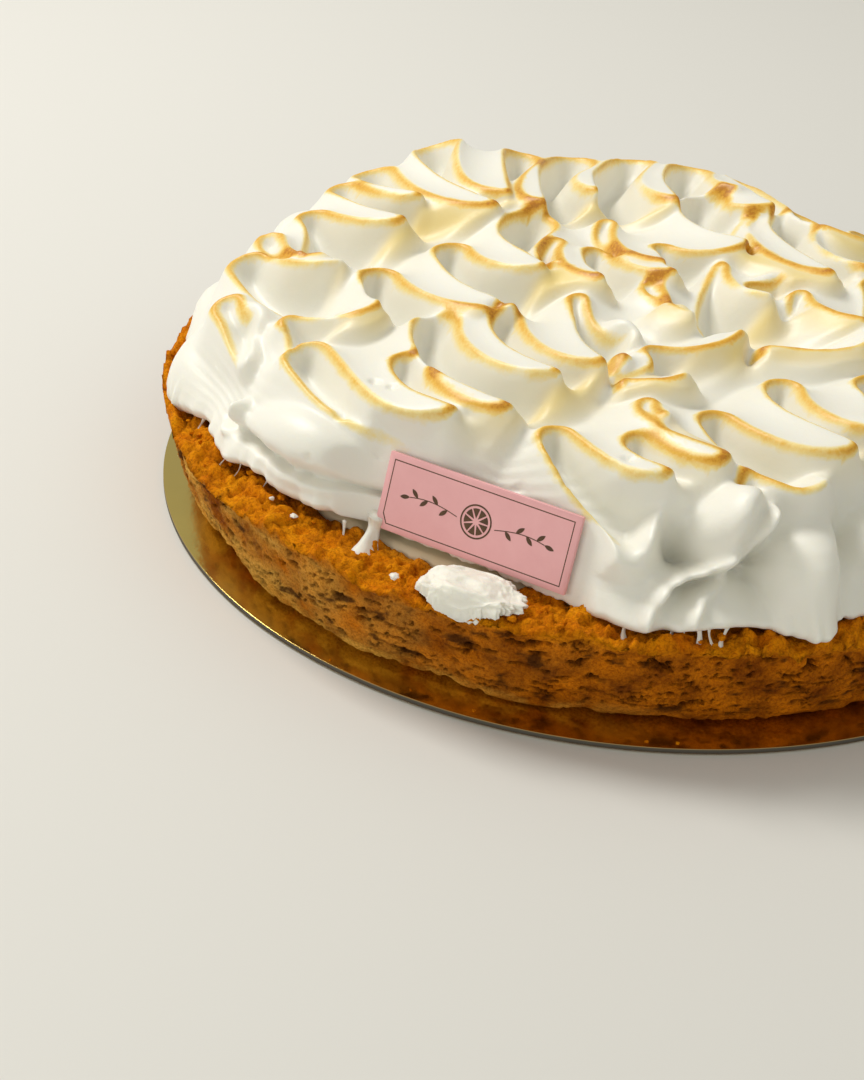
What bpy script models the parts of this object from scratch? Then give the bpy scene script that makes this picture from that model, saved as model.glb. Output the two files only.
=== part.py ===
"""A lemon meringue pie on the thin gold card that it is sold on.

Six solids: the card, the biscuit crust, the lemon filling, the meringue that
covers it, a loose dab of meringue on the rim, and a small pink plaque that
leans on the meringue. Metres, +Z up, origin under the centre of the card.
"""

import bpy
import numpy as np
from math import cos, pi, radians, sin

MM = 0.001
GAP = 0.3

# Driving dimensions, in millimetres. Heights are above the card's top unless a line says otherwise.
CARD_RADIUS, CARD_THICK = 130.0, 1.5
CRUST_HEIGHT = 28.0
CRUST_FOOT_RADIUS, CRUST_RIM_RADIUS = 121.5, 129.6
CRUST_INNER_RADIUS, CRUST_FLOOR = 113.2, 4.0
FILLING_RADIUS, FILLING_TOP = CRUST_INNER_RADIUS - 2 * GAP, CRUST_HEIGHT - 0.6
MOUND_RADIUS, MOUND_FOOT, MOUND_RISE, FOOT_ROLL = 120.0, 30.9, 23.1, 1.9
FOOT_CLEAR = CRUST_HEIGHT + 0.9
FOLD_HEIGHT, FOLD_SINK = 19.0, 9.5
TALL_LOBE = (-52, 85)
LABEL_WIDTH, LABEL_HEIGHT, LABEL_THICK = 51.0, 18.7, 1.4
CUT_UP, CUT_ALONG = 2.9, 1.9
LABEL_FOOT, LABEL_HEADING, LABEL_TILT = (-67.1, -92.0, 31.0), radians(-29.3), radians(18.8)
LABEL_CLEARANCE = 8.0
DAB_INNER_RADIUS = 117.8

# How finely the solids are faceted.
ROUND_STEPS = 96
MOUND_STEPS = 150
MOUND_FACES = 6100

# The mound's foot: heading in degrees and radius, then heading and how far it stands up off the rim.
FOOT_RADII = (
    (-180, 124), (-172, 125), (-166, 127.5), (-161, 124), (-156, 121.5), (-149, 123.5), (-143, 120),
    (-135, 119), (-129, 117.5), (-122, 114), (-112, 113.5), (-104, 117), (-101, 119), (-97, 123.5),
    (-92, 126.5), (-86, 128), (-80, 125), (-74.5, 129.5), (-68, 123), (-60, 121), (-48, 125),
    (-36, 120), (-22, 126), (-8, 121), (6, 124), (22, 119), (38, 125), (55, 120), (72, 124),
    (90, 119.5), (108, 124), (126, 120), (144, 124.5), (160, 121), (171, 124),
)
FOOT_RISES = (
    (-180, 0.0), (-166, 0.2), (-160, 2.6), (-156, 2.8), (-151, 0.2), (-147, 2.4), (-143, 3.2),
    (-139, 1.0), (-134, 2.8), (-128, 3.4), (-122, 2.0), (-100, 0.4), (-91, 0.2), (-87, 2.2),
    (-83, 2.4), (-79, 0.4), (-60, 0.2), (-30, 1.6), (0, 0.2), (35, 1.8), (60, 0.2), (100, 1.5),
    (130, 0.2), (160, 1.2),
)
# The meringue's spatula marks, row by row, on the mound rolled out flat. Each row starts at (x, y),
# where its first mark's near side ends. Each mark is then the x, y of its round top, the x, y of the
# point that it drags out to, and its width. A mark may also name its swing and its point's lift.
SPATULA_ROWS = (
    ((-96, -58), (-101.5, -26.5, -97, -41, 4, 10, 0.6)),
    ((-57, -94), (-86.5, -50.5, -49, -87.5, 9.5, 24), (-61.5, -57.5, -36, -86.5, 8, 35),
     (-54.5, -33, -24.5, -69.5, 11.5, 43), (-37.5, -29.5, -14, -62, 8, 35),
     (-18.8, -15.8, -5, -36, 5, 28, 0.5)),
    ((-81, -37), (-105, 3.5, -81, -10, 10, 42)),
    ((-88, -51), (-92.5, -38, -70, -35.5, 5, 40), (-72, -7.5, -35.5, -32, 10, 42),
     (-53, 13, -28, -6.5, 10, 42), (-27.2, 38, -25.5, 2, 15)),
    ((-26, 0), (-22.5, 20.5, -12, -11, 4, 40), (-12.5, 17, 7.5, -3.5, 8, 42), (4.5, 22, 29.5, 21.5, 6, 60),
     (24, 66, 40, 52, 13, 72), (34, 98, 68, 42, 8, 20)),
    ((-4, 9), (-8, 38, 5, 3, 5, 35)),
    ((-90, -5), (-100.5, 16, -86.5, -5, 6)),
    ((-88, -4), (-93, 32, -66, 20.5, 8, 35), (-85, 55, -62, 38.5, 8, 32), (-76, 70, -41, 35.5, 11, 38),
     (-55, 92, -38, 44, 12, 35), (-31.5, 92, -27.5, 38, 10, 12), (-14, 100, -12, 50, 13, 20),
     (5, 104, 11, 48, 13), (21, 98, 30, 64, 13)),
    ((20, -31), (0.5, -4.5, 11, -27, 5, 10)),
    ((17, -28.5), (22, 12, 32, -14, 3.5, 35)),
    ((38, -2), (27, -6, 37, 5, 8, 20, 0.7)),
    ((40, -12), (41.5, -3, 56, -24, 5, 40)),
    ((30, 19), (34, 50, 50.5, 2.5, 3, 46), (51.5, 62, 61, 10.5, 13, 35)),
    ((60, -16), (62, 8, 80, -8, 9), (80, 30, 96, -2, 12)),
    ((-10, -64), (-2.5, -45, 21, -36.5, 6, 50)),
    ((-10, -68), (-9.5, -64, 5.5, -63, 3, 38)),
    ((-12, -60), (-8, -50, -9, -58, 3, 20, 0.6)),
    ((26, -43), (27, -41, 56, -32, 3, 35), (57, -18, 76, -28, 9), (76, -6, 93, -20, 11)),
    ((-6, -118), (-27, -89, 0, -103.5, 8.5, 36), (-8, -89.5, 12, -98.5, 8, 38), (-3, -73.5, 0, -85, 4.5)),
    ((28, -100), (10.5, -77.5, 42, -90.5, 9, 42), (31, -57.5, 48, -84, 9, 40), (52, -52, 72, -70, 11),
     (70, -46, 92, -56, 12)),
    ((14, -104), (16, -99, 33, -99.5, 3, 35)),
    ((68, 42), (72, 70, 92, 34, 12), (94, 48, 106, 10, 12)),
)
SWING = 28
START_LIFT, TOP_LIFT, TIP_LIFT = 0.45, 0.88, 1.10
RELIEF_STEP = 1.2
SCOOP_REACH, NOSE_REACH, SHELF_REACH = 3.2, 4.6, 15.0
NOSE_BULGE = 2.3
LEAN, LEAN_HEADING = 4.0, radians(-32)

# Pillows of meringue on the wall: middle x, y, half length, half width, heading and height.
PILLOWS = (
    (-86, -80, 30, 15, -44, 0.85), (-121, -28, 22, 14, -100, 0.55), (-122, 12, 18, 12, 80, 0.45),
    (-9, -112, 15, 16, -80, 0.95), (15, -108, 17, 9, 62, 1.20), (35, -114, 15, 19, -10, 0.80),
    (56, -104, 13, 18, -65, 0.75),
)


def clear_scene():
    for thing in list(bpy.data.objects):
        bpy.data.objects.remove(thing)


def finish(name, colour, roughness, metallic=0.0):
    material = bpy.data.materials.new(name)
    material.use_nodes = True
    shader = material.node_tree.nodes["Principled BSDF"]
    shader.inputs["Base Color"].default_value = (*colour, 1.0)
    shader.inputs["Roughness"].default_value = roughness
    shader.inputs["Metallic"].default_value = metallic
    return material


def add_solid(name, points, faces, material, smooth_angle=None):
    """One object from points in millimetres above the card's underside."""
    mesh = bpy.data.meshes.new(name)
    mesh.from_pydata([tuple(MM * c for c in p) for p in points], [], [tuple(map(int, f)) for f in faces])
    mesh.materials.append(material)
    if smooth_angle is not None:
        mesh.shade_smooth()
        mesh.set_sharp_from_angle(angle=radians(smooth_angle))
    solid = bpy.data.objects.new(name, mesh)
    bpy.context.scene.collection.objects.link(solid)
    return solid


def wave(angle, seed, turns):
    """A smooth round ripple between about -1 and 1, made of a few sine waves a turn."""
    chance = np.random.default_rng(seed)
    phases = chance.uniform(0, 2 * pi, len(turns))
    return sum(np.sin(n * angle + p) for n, p in zip(turns, phases)) / len(turns) ** 0.5 / 1.4


def turned(name, rings, bottom, top, material, smooth_angle=40):
    """A closed solid from rings of points, from the bottom's middle round to the top's."""
    count = len(rings[0])
    points = [bottom, *(p for ring in rings for p in ring), top]
    faces = []
    for k in range(count):
        here, after = 1 + k, 1 + (k + 1) % count
        faces.append((0, after, here))
        for ring in range(len(rings) - 1):
            low, high = ring * count, (ring + 1) * count
            faces.append((here + low, after + low, after + high, here + high))
        last = (len(rings) - 1) * count
        faces.append((here + last, after + last, len(points) - 1))
    return add_solid(name, points, faces, material, smooth_angle)


def circle(radius, height):
    """Points round a circle; either value may change with the angle. Heights above the card's top."""
    angles = np.arange(ROUND_STEPS) * 2 * pi / ROUND_STEPS
    radius = radius(angles) if callable(radius) else np.full(ROUND_STEPS, radius)
    height = height(angles) if callable(height) else np.full(ROUND_STEPS, height)
    return [(r * cos(a), r * sin(a), h + CARD_THICK) for r, a, h in zip(radius, angles, height)]


def make_card():
    base = [(x, y, 0.0) for x, y, z in circle(CARD_RADIUS, 0)]
    edge = circle(CARD_RADIUS, 0)
    gold = finish("card_gold", (0.72, 0.50, 0.20), 0.22, 1.0)
    return turned("cake_card", [base, edge], (0, 0, 0), (0, 0, CARD_THICK), gold, 30)


def foot_radius(angles):
    return CRUST_FOOT_RADIUS + 1.9 * wave(angles, 3, (5, 8, 13, 21))


def foot_height(angles):
    return np.maximum(2.6 + 2.0 * wave(angles, 4, (4, 9, 14, 19)), 3 * GAP)


def rim_radius(angles):
    return CRUST_RIM_RADIUS + 0.4 * wave(angles, 5, (6, 11, 17))


def rim_height(angles):
    return CRUST_HEIGHT + 0.5 * wave(angles, 6, (9, 14, 23))


def make_crust():
    """The shell: a flaring wall on an uneven foot, a broken flat rim, a straight inside and a floor."""
    def wall(share, bulge):
        def radius(angles):
            return foot_radius(angles) * (1 - share) + rim_radius(angles) * share + bulge

        def height(angles):
            return foot_height(angles) * (1 - share) + (rim_height(angles) - 1.6) * share
        return circle(radius, height)

    rings = [
        circle(lambda a: foot_radius(a) - 4, GAP),
        circle(lambda a: foot_radius(a) - 1, lambda a: foot_height(a) - 0.6 * (foot_height(a) - GAP)),
        wall(0.0, 0.0),
        wall(0.35, 1.3),
        wall(0.7, 1.2),
        wall(1.0, 0.4),
        circle(lambda a: rim_radius(a) - 1.2, rim_height),
        circle(124.0, lambda a: rim_height(a + 0.1)),
        circle(117.5, lambda a: rim_height(a - 0.2) - 0.5),
        circle(CRUST_INNER_RADIUS, CRUST_HEIGHT - 1.2),
        circle(CRUST_INNER_RADIUS, CRUST_FLOOR),
    ]
    brown = finish("crust_brown", (0.36, 0.15, 0.03), 0.75)
    low, floor = CARD_THICK + GAP, CARD_THICK + CRUST_FLOOR
    return turned("crust", rings, (0, 0, low), (0, 0, floor), brown)


def make_filling():
    rings = [
        circle(FILLING_RADIUS, CRUST_FLOOR + GAP),
        circle(FILLING_RADIUS, FILLING_TOP - 1.5),
        circle(FILLING_RADIUS - 1.5, FILLING_TOP),
    ]
    cream = finish("filling_cream", (0.86, 0.76, 0.55), 0.45)
    low, high = CARD_THICK + CRUST_FLOOR + GAP, CARD_THICK + FILLING_TOP
    return turned("filling", rings, (0, 0, low), (0, 0, high), cream)


def turn(v, degrees):
    c, s = cos(radians(degrees)), sin(radians(degrees))
    return np.array([c * v[0] - s * v[1], s * v[0] + c * v[1]])


def unit(v):
    return v / np.linalg.norm(v)


def sweep(start, end, leave, arrive):
    """A curve from start to end as points, leaving and arriving along the two directions."""
    reach = np.linalg.norm(end - start)
    t = np.linspace(0, 1, max(6, int(reach / 0.5)))[:, None]
    near, far = start + 0.42 * reach * leave, end - 0.36 * reach * arrive
    return (1 - t) ** 3 * start + 3 * (1 - t) ** 2 * t * near + 3 * (1 - t) * t * t * far + t ** 3 * end


def spatula_mark(foot, top, tip, width, swing, end_lift, first_lift=1.0):
    """The crest round one mark: up its near side, over its round top and down to its point."""
    down = turn(unit(tip - top), -swing)
    across = turn(down, 90)
    centre = top + width / 2 * down
    bend = np.linspace(pi, 0, 24)[:, None]
    arc = centre + width / 2 * (across * np.cos(bend) - down * np.sin(bend))
    near = sweep(arc[0], foot, down, turn(unit(foot - top), 0.8 * swing))[::-1]
    far = sweep(arc[-1], tip, down, turn(unit(tip - top), 62))
    lift = np.concatenate([
        np.linspace(first_lift, TOP_LIFT, len(near)),
        np.full(len(arc), TOP_LIFT),
        np.linspace(TOP_LIFT, end_lift, len(far)),
    ])
    return np.concatenate([near, arc, far]), lift


def marks():
    for row in SPATULA_ROWS:
        foot, first_lift = np.array(row[0], float), START_LIFT
        for top_x, top_y, tip_x, tip_y, width, *rest in row[1:]:
            tip = np.array([tip_x, tip_y], float)
            swing, end_lift = rest + [SWING, TIP_LIFT][len(rest):]
            yield foot, np.array([top_x, top_y], float), tip, width, swing, end_lift, first_lift
            foot, first_lift = tip, end_lift


def covers(outline, x, y):
    """Which grid places lie inside a closed outline."""
    found = np.zeros(x.shape, bool)
    for (ax, ay), (bx, by) in zip(outline, np.roll(outline, -1, 0)):
        if ay != by:
            found ^= ((ay > y) != (by > y)) & (x < (bx - ax) * (y - ay) / (by - ay) + ax)
    return found


def blur(field, cells):
    """A field on the grid, softened over a number of cells."""
    reach = int(3 * cells) + 1
    weights = np.exp(-0.5 * (np.arange(-reach, reach + 1) / cells) ** 2)
    weights /= weights.sum()
    for axis in (0, 1):
        field = sum(w * np.roll(field, k, axis) for w, k in zip(weights, range(-reach, reach + 1)))
    return field


def settle(pins, held, reach):
    """Stretches a sheet over the held cells: it sinks back to zero away from them."""
    field = pins.copy()
    shrink = 4 + (RELIEF_STEP / reach) ** 2
    for _ in range(260):
        around = sum(np.roll(field, step, axis) for step in (1, -1) for axis in (0, 1))
        field = np.where(held, field, around / shrink)
    return field


def pillow(x, y, middle, length, width, along, rise):
    """A domed lump on the grid."""
    dx, dy = x - middle[0], y - middle[1]
    a, b = dx * along[0] + dy * along[1], dy * along[0] - dx * along[1]
    return rise * np.clip(1 - (a / length) ** 2 - (b / width) ** 2, 0, 1)


def mound_outline():
    """The bare mound's outline, rolled out flat: distance from the middle, radius and height.

    Its foot rolls under. The last value is the distance at which the roll begins.
    """
    tilt, under = np.linspace(0, pi / 2, 1500), np.linspace(0, radians(105), 40)[1:]
    radius = np.concatenate([MOUND_RADIUS * np.sin(tilt) ** 0.2,
                             MOUND_RADIUS - FOOT_ROLL + FOOT_ROLL * np.cos(under)])
    height = np.concatenate([MOUND_FOOT + MOUND_RISE * np.cos(tilt),
                             MOUND_FOOT - FOOT_ROLL * np.sin(under)])
    radius[0] = 0.0
    travel = np.concatenate([[0], np.cumsum(np.hypot(np.diff(radius), np.diff(height)))])
    return travel, radius, height, travel[len(tilt) - 1]


def relief(reach, wall_end):
    """Heights, 0 to about 1, of the swirled surface on a square grid, and the grid's line.

    Left of each crest the meringue lies high as a shelf; right of it, it drops away, scooped
    hollow inside a mark and rounded as a nose outside it.
    """
    half = int(reach / RELIEF_STEP) + 8
    line = np.arange(-half, half + 1) * RELIEF_STEP
    x, y = np.meshgrid(line, line)

    def pin(field, points, values):
        column, row = (np.round(points / RELIEF_STEP).astype(int) + half).T
        near = (column > 0) & (row > 0) & (column < 2 * half) & (row < 2 * half)
        np.maximum.at(field, (row[near], column[near]), np.broadcast_to(values, len(points))[near])

    pinned, upper, lower, lumps = (np.zeros(x.shape) for _ in range(4))
    hollow = np.zeros(x.shape, bool)
    for foot, top, tip, width, *shape in marks():
        crest, lift = spatula_mark(foot, top, tip, width, *shape)
        along = np.gradient(crest, axis=0)
        along /= np.maximum(np.hypot(*along.T), 1e-9)[:, None]
        left = np.stack([-along[:, 1], along[:, 0]], -1)
        pin(pinned, crest, lift * np.clip((wall_end - 2 - np.hypot(*crest.T)) / 14, 0, 1))
        pin(upper, crest + 1.8 * left, 1.0)
        pin(lower, crest - 1.8 * left, 1.0)
        hollow |= covers(crest[::4], x, y)
        flow = unit(tip - top)
        lumps = np.maximum(lumps, pillow(x, y, tip - (2 + 0.2 * width) * flow, 14 + 0.3 * width,
                                         6.5 + 0.5 * width, flow, 0.98))
    for *middle, length, width, heading, rise in PILLOWS:
        lumps = np.maximum(lumps, pillow(x, y, middle, length, width, turn((1, 0), heading), rise))

    side = settle(upper - lower, (upper + lower) > 0, 20.0)
    shelf = np.clip(0.5 + 2.0 * side, 0, 1) * (1 - blur(hollow, 0.8))
    reach_here = np.where(hollow, SCOOP_REACH, NOSE_REACH) * (1 - shelf) + SHELF_REACH * shelf
    height = settle(pinned, pinned > 0, blur(reach_here, 0.8))
    bulged = 1 - (1 - np.clip(height, 0, 1)) ** NOSE_BULGE + np.clip(height - 1, 0, None)
    nose = (1 - shelf) * (1 - blur(hollow, 1.2))
    height = height + (bulged - height) * np.clip(nose, 0, 1)
    lumps = blur(lumps, 1.2) * (1 - 0.85 * blur(hollow, 1.0))
    gap = height - lumps
    return line, blur(0.5 * (height + lumps + np.sqrt(gap ** 2 + 0.02)) - 0.05, 0.9)


def on_grid(line, field, x, y):
    """A grid field's value between its cells."""
    fx, fy = (x - line[0]) / RELIEF_STEP, (y - line[0]) / RELIEF_STEP
    i = np.clip(fx.astype(int), 0, len(line) - 2)
    j = np.clip(fy.astype(int), 0, len(line) - 2)
    a, b = fx - i, fy - j
    return ((field[j, i] * (1 - a) + field[j, i + 1] * a) * (1 - b)
            + (field[j + 1, i] * (1 - a) + field[j + 1, i + 1] * a) * b)


def round_the_foot(pairs, heading):
    """A value round the mound's foot, flowing between the stated headings."""
    keys = np.radians([angle for angle, _ in pairs])
    return np.interp(heading, keys, [value for _, value in pairs], period=2 * pi)


def ease(share):
    share = np.clip(share, 0, 1)
    return share * share * (3 - 2 * share)


def on_mound(x, y, lift, outline):
    """Where a rolled-out point lies on the real mound, raised by a lift in relief."""
    travel, radius, height, wall_end = outline
    far, heading = np.hypot(x, y), np.arctan2(y, x)
    settled = np.clip((wall_end - far) / 14, 0, 1)
    tall = 1 + 0.5 * np.exp(-((x - TALL_LOBE[0]) ** 2 + (y - TALL_LOBE[1]) ** 2) / 20 ** 2)
    raised = FOLD_HEIGHT * lift * tall * (0.35 + 0.65 * settled) - FOLD_SINK * settled
    run = np.interp(far + 0.8, travel, radius) - np.interp(far - 0.8, travel, radius)
    drop = np.interp(far + 0.8, travel, height) - np.interp(far - 0.8, travel, height)
    slope = np.hypot(run, drop)
    low_down = np.clip((far - 0.55 * wall_end) / (0.45 * wall_end), 0, 1)
    spread = 1 + (round_the_foot(FOOT_RADII, heading) / MOUND_RADIUS - 1) * low_down ** 1.5
    near_foot = np.clip((far - wall_end + 14) / 14, 0, 1)
    out = np.interp(far, travel, radius) * spread - drop / slope * raised
    up = np.interp(far, travel, height) + run / slope * raised
    slump = 14 * ease((0.85 * (x - 25) + 0.5 * (y - 50)) / 75) + 3 * ease((y - 60) / 30) * ease((30 - x) / 40)
    up -= slump * np.clip((up - MOUND_FOOT) / MOUND_RISE, 0, 1)
    up += round_the_foot(FOOT_RISES, heading) * near_foot ** 2
    lean = LEAN * (np.clip(lift, 0, 1.15) ** 2 - 1) * settled
    return np.stack([
        out * np.cos(heading) + lean * cos(LEAN_HEADING),
        out * np.sin(heading) + lean * sin(LEAN_HEADING),
        np.maximum(up, FOOT_CLEAR) + CARD_THICK,
    ], -1)


def label_axes():
    """The plaque's foot corner, its directions along and up, and its outward normal."""
    along = np.array([cos(LABEL_HEADING), sin(LABEL_HEADING), 0.0])
    inward = np.array([-sin(LABEL_HEADING), cos(LABEL_HEADING), 0.0])
    up = np.array([0, 0, cos(LABEL_TILT)]) + sin(LABEL_TILT) * inward
    corner = np.array(LABEL_FOOT) + (0, 0, CARD_THICK)
    return corner, along, up, np.cross(along, up)


def press_back(points):
    """Moves meringue points that would stand in or before the plaque to just behind its back."""
    corner, along, up, outward = label_axes()
    offset = points - corner
    u, v, w = offset @ along, offset @ up, offset @ outward
    beside = np.maximum(np.maximum(-u, u - LABEL_WIDTH), np.maximum(-v - LABEL_CLEARANCE, v - LABEL_HEIGHT))
    allowed = -(LABEL_THICK + 2.5 * GAP) + 0.05 * np.clip(beside - 3.5, 0, None) ** 2
    return points - np.maximum(w - allowed, 0)[:, None] * outward


def thin_out(solid, faces):
    """Brings a finely drawn solid down to a number of faces, keeping them where it bends most."""
    fewer = solid.modifiers.new("fewer faces", "DECIMATE")
    fewer.ratio = faces / sum(len(face.vertices) - 2 for face in solid.data.polygons)
    bpy.context.view_layer.objects.active = solid
    bpy.ops.object.modifier_apply(modifier=fewer.name)


def make_meringue():
    outline = mound_outline()
    reach = outline[0][-1]
    across = np.linspace(-1, 1, MOUND_STEPS + 1)
    u, v = np.meshgrid(across, across)
    x, y = reach * u * np.sqrt(1 - v * v / 2), reach * v * np.sqrt(1 - u * u / 2)
    line, lift = relief(reach, outline[3])
    points = press_back(on_mound(x, y, on_grid(line, lift, x, y), outline).reshape(-1, 3))
    count = MOUND_STEPS + 1
    at = np.arange(count * count).reshape(count, count)
    faces = [tuple(f) for f in np.stack(
        [at[:-1, :-1], at[:-1, 1:], at[1:, 1:], at[1:, :-1]], -1).reshape(-1, 4)]
    border = [*at[0, :-1], *at[:-1, -1], *at[-1, :0:-1], *at[:0:-1, 0]]
    under = len(points)
    points = [*points, (0.0, 0.0, CARD_THICK + FOOT_CLEAR)]
    faces += [(under, border[(k + 1) % len(border)], border[k]) for k in range(len(border))]
    white = finish("meringue_white", (0.86, 0.84, 0.77), 0.5)
    solid = add_solid("meringue", points, faces, white, 50)
    thin_out(solid, MOUND_FACES)
    kept = press_back(np.array([v.co for v in solid.data.vertices]) / MM)
    kept[:, 2] = np.maximum(kept[:, 2], CARD_THICK + FOOT_CLEAR - 2 * GAP)
    solid.data.vertices.foreach_set("co", (kept * MM).ravel())
    solid.data.update()
    return solid


def make_label():
    """The plaque: a plain card with its lower left corner cut off."""
    corner, along, up, outward = label_axes()
    outline = [
        (0, CUT_UP), (CUT_ALONG, 0), (LABEL_WIDTH, 0),
        (LABEL_WIDTH, LABEL_HEIGHT), (0, LABEL_HEIGHT),
    ]
    front = [corner + a * along + b * up for a, b in outline]
    back = [p - LABEL_THICK * outward for p in front]
    count = len(outline)
    faces = [tuple(range(count)), tuple(range(2 * count - 1, count - 1, -1))]
    faces += [(k, k + count, (k + 1) % count + count, (k + 1) % count) for k in range(count)]
    pink = finish("label_pink", (0.72, 0.37, 0.39), 0.55)
    return add_solid("label", [*front, *back], faces, pink)


def make_dab():
    """A spoonful of meringue left on the rim under the plaque, drooping over the outer edge."""
    middle, half_width = radians(-110.2), radians(6.6)
    across_steps, out_steps = 14, 8
    upper, lower = [], []
    for i in range(across_steps + 1):
        s = -1 + 2 * i / across_steps
        angle = middle + half_width * s
        reach = 130.6 + 2.4 * cos(pi / 2 * s) + 0.8 * sin(5 * s + 1)
        for j in range(out_steps + 1):
            t = j / out_steps
            radius = DAB_INNER_RADIUS + (reach - DAB_INNER_RADIUS) * t
            shelf = CRUST_HEIGHT + 1.0
            thick = 4.6 * (1 - s ** 4) * (1 - t ** 5) * (0.8 + 0.2 * sin(3 * s + 4 * t))
            thick = min(thick, LABEL_FOOT[2] - shelf - 3 * GAP + max(0.0, radius - 120.5) * 0.8)
            droop = 3.5 * max(0.0, (radius - 131.2) / 2.0) * (1 - s * s)
            base = shelf - droop
            upper.append((radius * cos(angle), radius * sin(angle), CARD_THICK + base + 0.15 + thick))
            lower.append((radius * cos(angle), radius * sin(angle), CARD_THICK + base))
    wide = out_steps + 1
    total = len(upper)
    faces = []
    for i in range(across_steps):
        for j in range(out_steps):
            a, b = i * wide + j, (i + 1) * wide + j
            faces.append((a, a + 1, b + 1, b))
            faces.append((total + a, total + b, total + b + 1, total + a + 1))
    ring = [i * wide for i in range(across_steps)]
    ring += [across_steps * wide + j for j in range(out_steps)]
    ring += [i * wide + out_steps for i in range(across_steps, 0, -1)]
    ring += [j for j in range(out_steps, 0, -1)]
    for a, b in zip(ring, ring[1:] + ring[:1]):
        faces.append((a, b, total + b, total + a))
    white = finish("dab_white", (0.86, 0.84, 0.79), 0.5)
    return add_solid("meringue_dab", [*upper, *lower], faces, white, 50)


clear_scene()
make_card()
make_crust()
make_filling()
make_meringue()
make_label()
make_dab()
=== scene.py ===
from math import atan2, cos, degrees, pi, radians, sin

import bmesh
import bpy
import numpy as np
from mathutils import Euler, Matrix, Vector, noise


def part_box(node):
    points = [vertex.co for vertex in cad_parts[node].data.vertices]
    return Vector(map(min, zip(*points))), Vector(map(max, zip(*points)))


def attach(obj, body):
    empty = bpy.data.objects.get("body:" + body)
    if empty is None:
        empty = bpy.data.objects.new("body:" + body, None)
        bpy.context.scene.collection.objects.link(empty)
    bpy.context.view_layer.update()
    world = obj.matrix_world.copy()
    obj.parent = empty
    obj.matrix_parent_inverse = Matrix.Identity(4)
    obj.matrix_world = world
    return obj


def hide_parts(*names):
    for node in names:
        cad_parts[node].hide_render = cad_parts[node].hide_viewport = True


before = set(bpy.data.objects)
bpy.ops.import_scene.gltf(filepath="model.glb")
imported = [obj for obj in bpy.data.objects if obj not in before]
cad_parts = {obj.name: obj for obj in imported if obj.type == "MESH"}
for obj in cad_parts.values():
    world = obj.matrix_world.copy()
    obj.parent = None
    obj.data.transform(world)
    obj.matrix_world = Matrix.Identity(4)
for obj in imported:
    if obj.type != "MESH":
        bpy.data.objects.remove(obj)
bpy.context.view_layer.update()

MM = 0.001
card_low, card_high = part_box("cake_card")
crust_low, crust_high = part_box("crust")
CARD_TOP = card_high.z / MM


# ---------------------------------------------------------------- the view
# A still life on a plain pale table: one camera from the front left and above, a wide window
# light from the back left, and weak light from everywhere else.

camera = bpy.data.objects.new("camera", bpy.data.cameras.new("camera"))
bpy.context.scene.collection.objects.link(camera)
camera.data.lens = 66.7
camera.data.sensor_width = 36.0
camera.data.clip_start = 0.01
CAMERA_PLACE = (-0.05317, -0.49907, card_high.z + 0.27378)
CAMERA_PITCH, CAMERA_ROLL = radians(58.9), radians(4.0)
camera.matrix_world = (Matrix.Translation(CAMERA_PLACE) @ Matrix.Rotation(CAMERA_PITCH, 4, "X")
                       @ Matrix.Rotation(CAMERA_ROLL, 4, "Z"))
bpy.context.scene.camera = camera
bpy.context.scene.view_settings.view_transform = "Standard"


def soft_light(name, place, aim, size, power, colour):
    """A square soft box that looks at a point."""
    light = bpy.data.lights.new(name, "AREA")
    light.size = size
    light.energy = power
    light.color = colour
    lamp = bpy.data.objects.new(name, light)
    lamp.location = place
    lamp.rotation_euler = (Vector(aim) - Vector(place)).to_track_quat("-Z", "Y").to_euler()
    bpy.context.scene.collection.objects.link(lamp)


soft_light("window", (-0.68, 0.40, 1.02), (0.0, 0.0, 0.03), 0.45, 10.8, (1.0, 0.975, 0.92))
soft_light("side_window", (-0.95, -0.75, 0.30), (-0.08, -0.05, 0.03), 0.6, 1.8, (1.0, 0.96, 0.88))
soft_light("room", (0.5, -1.1, 0.9), (0.0, 0.0, 0.03), 1.2, 1.5, (0.93, 0.97, 0.90))

world = bpy.data.worlds.new("room_light")
world.use_nodes = True
world.node_tree.nodes["Background"].inputs["Color"].default_value = (0.97, 0.955, 0.86, 1.0)
world.node_tree.nodes["Background"].inputs["Strength"].default_value = 0.50
bpy.context.scene.world = world


def plain_material(name, colour, roughness, metallic=0.0):
    """A material with its Principled shader set to plain values, and that shader."""
    material = bpy.data.materials.new(name)
    material.use_nodes = True
    shader = material.node_tree.nodes["Principled BSDF"]
    shader.inputs["Base Color"].default_value = (*colour, 1.0)
    shader.inputs["Roughness"].default_value = roughness
    shader.inputs["Metallic"].default_value = metallic
    return material, shader


def add_node(owner, kind, **values):
    """A shader node in a material or a node group, with its sockets and settings set by name."""
    node = getattr(owner, "node_tree", owner).nodes.new(kind)
    for key, value in values.items():
        if key in node.inputs:
            node.inputs[key].default_value = value
        else:
            setattr(node, key, value)
    return node


def wire(owner, *pairs):
    for out, into in pairs:
        getattr(owner, "node_tree", owner).links.new(out, into)


def shader_group(name, takes, gives):
    """An empty shader group with its named inputs and outputs, and its two end nodes."""
    group = bpy.data.node_groups.new(name, "ShaderNodeTree")
    for side, sockets in (("INPUT", takes), ("OUTPUT", gives)):
        for socket, kind in sockets:
            group.interface.new_socket(socket, in_out=side, socket_type="NodeSocket" + kind)
    return group, add_node(group, "NodeGroupInput"), add_node(group, "NodeGroupOutput")


bpy.ops.object.select_all(action="DESELECT")
bpy.ops.mesh.primitive_plane_add(size=14.0, location=(0.0, 0.0, -0.0004))
floor = bpy.context.object
floor.name = "table"
table_white, _ = plain_material("table_white", (0.71, 0.70, 0.675), 0.6)
floor.data.materials.append(table_white)


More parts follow.
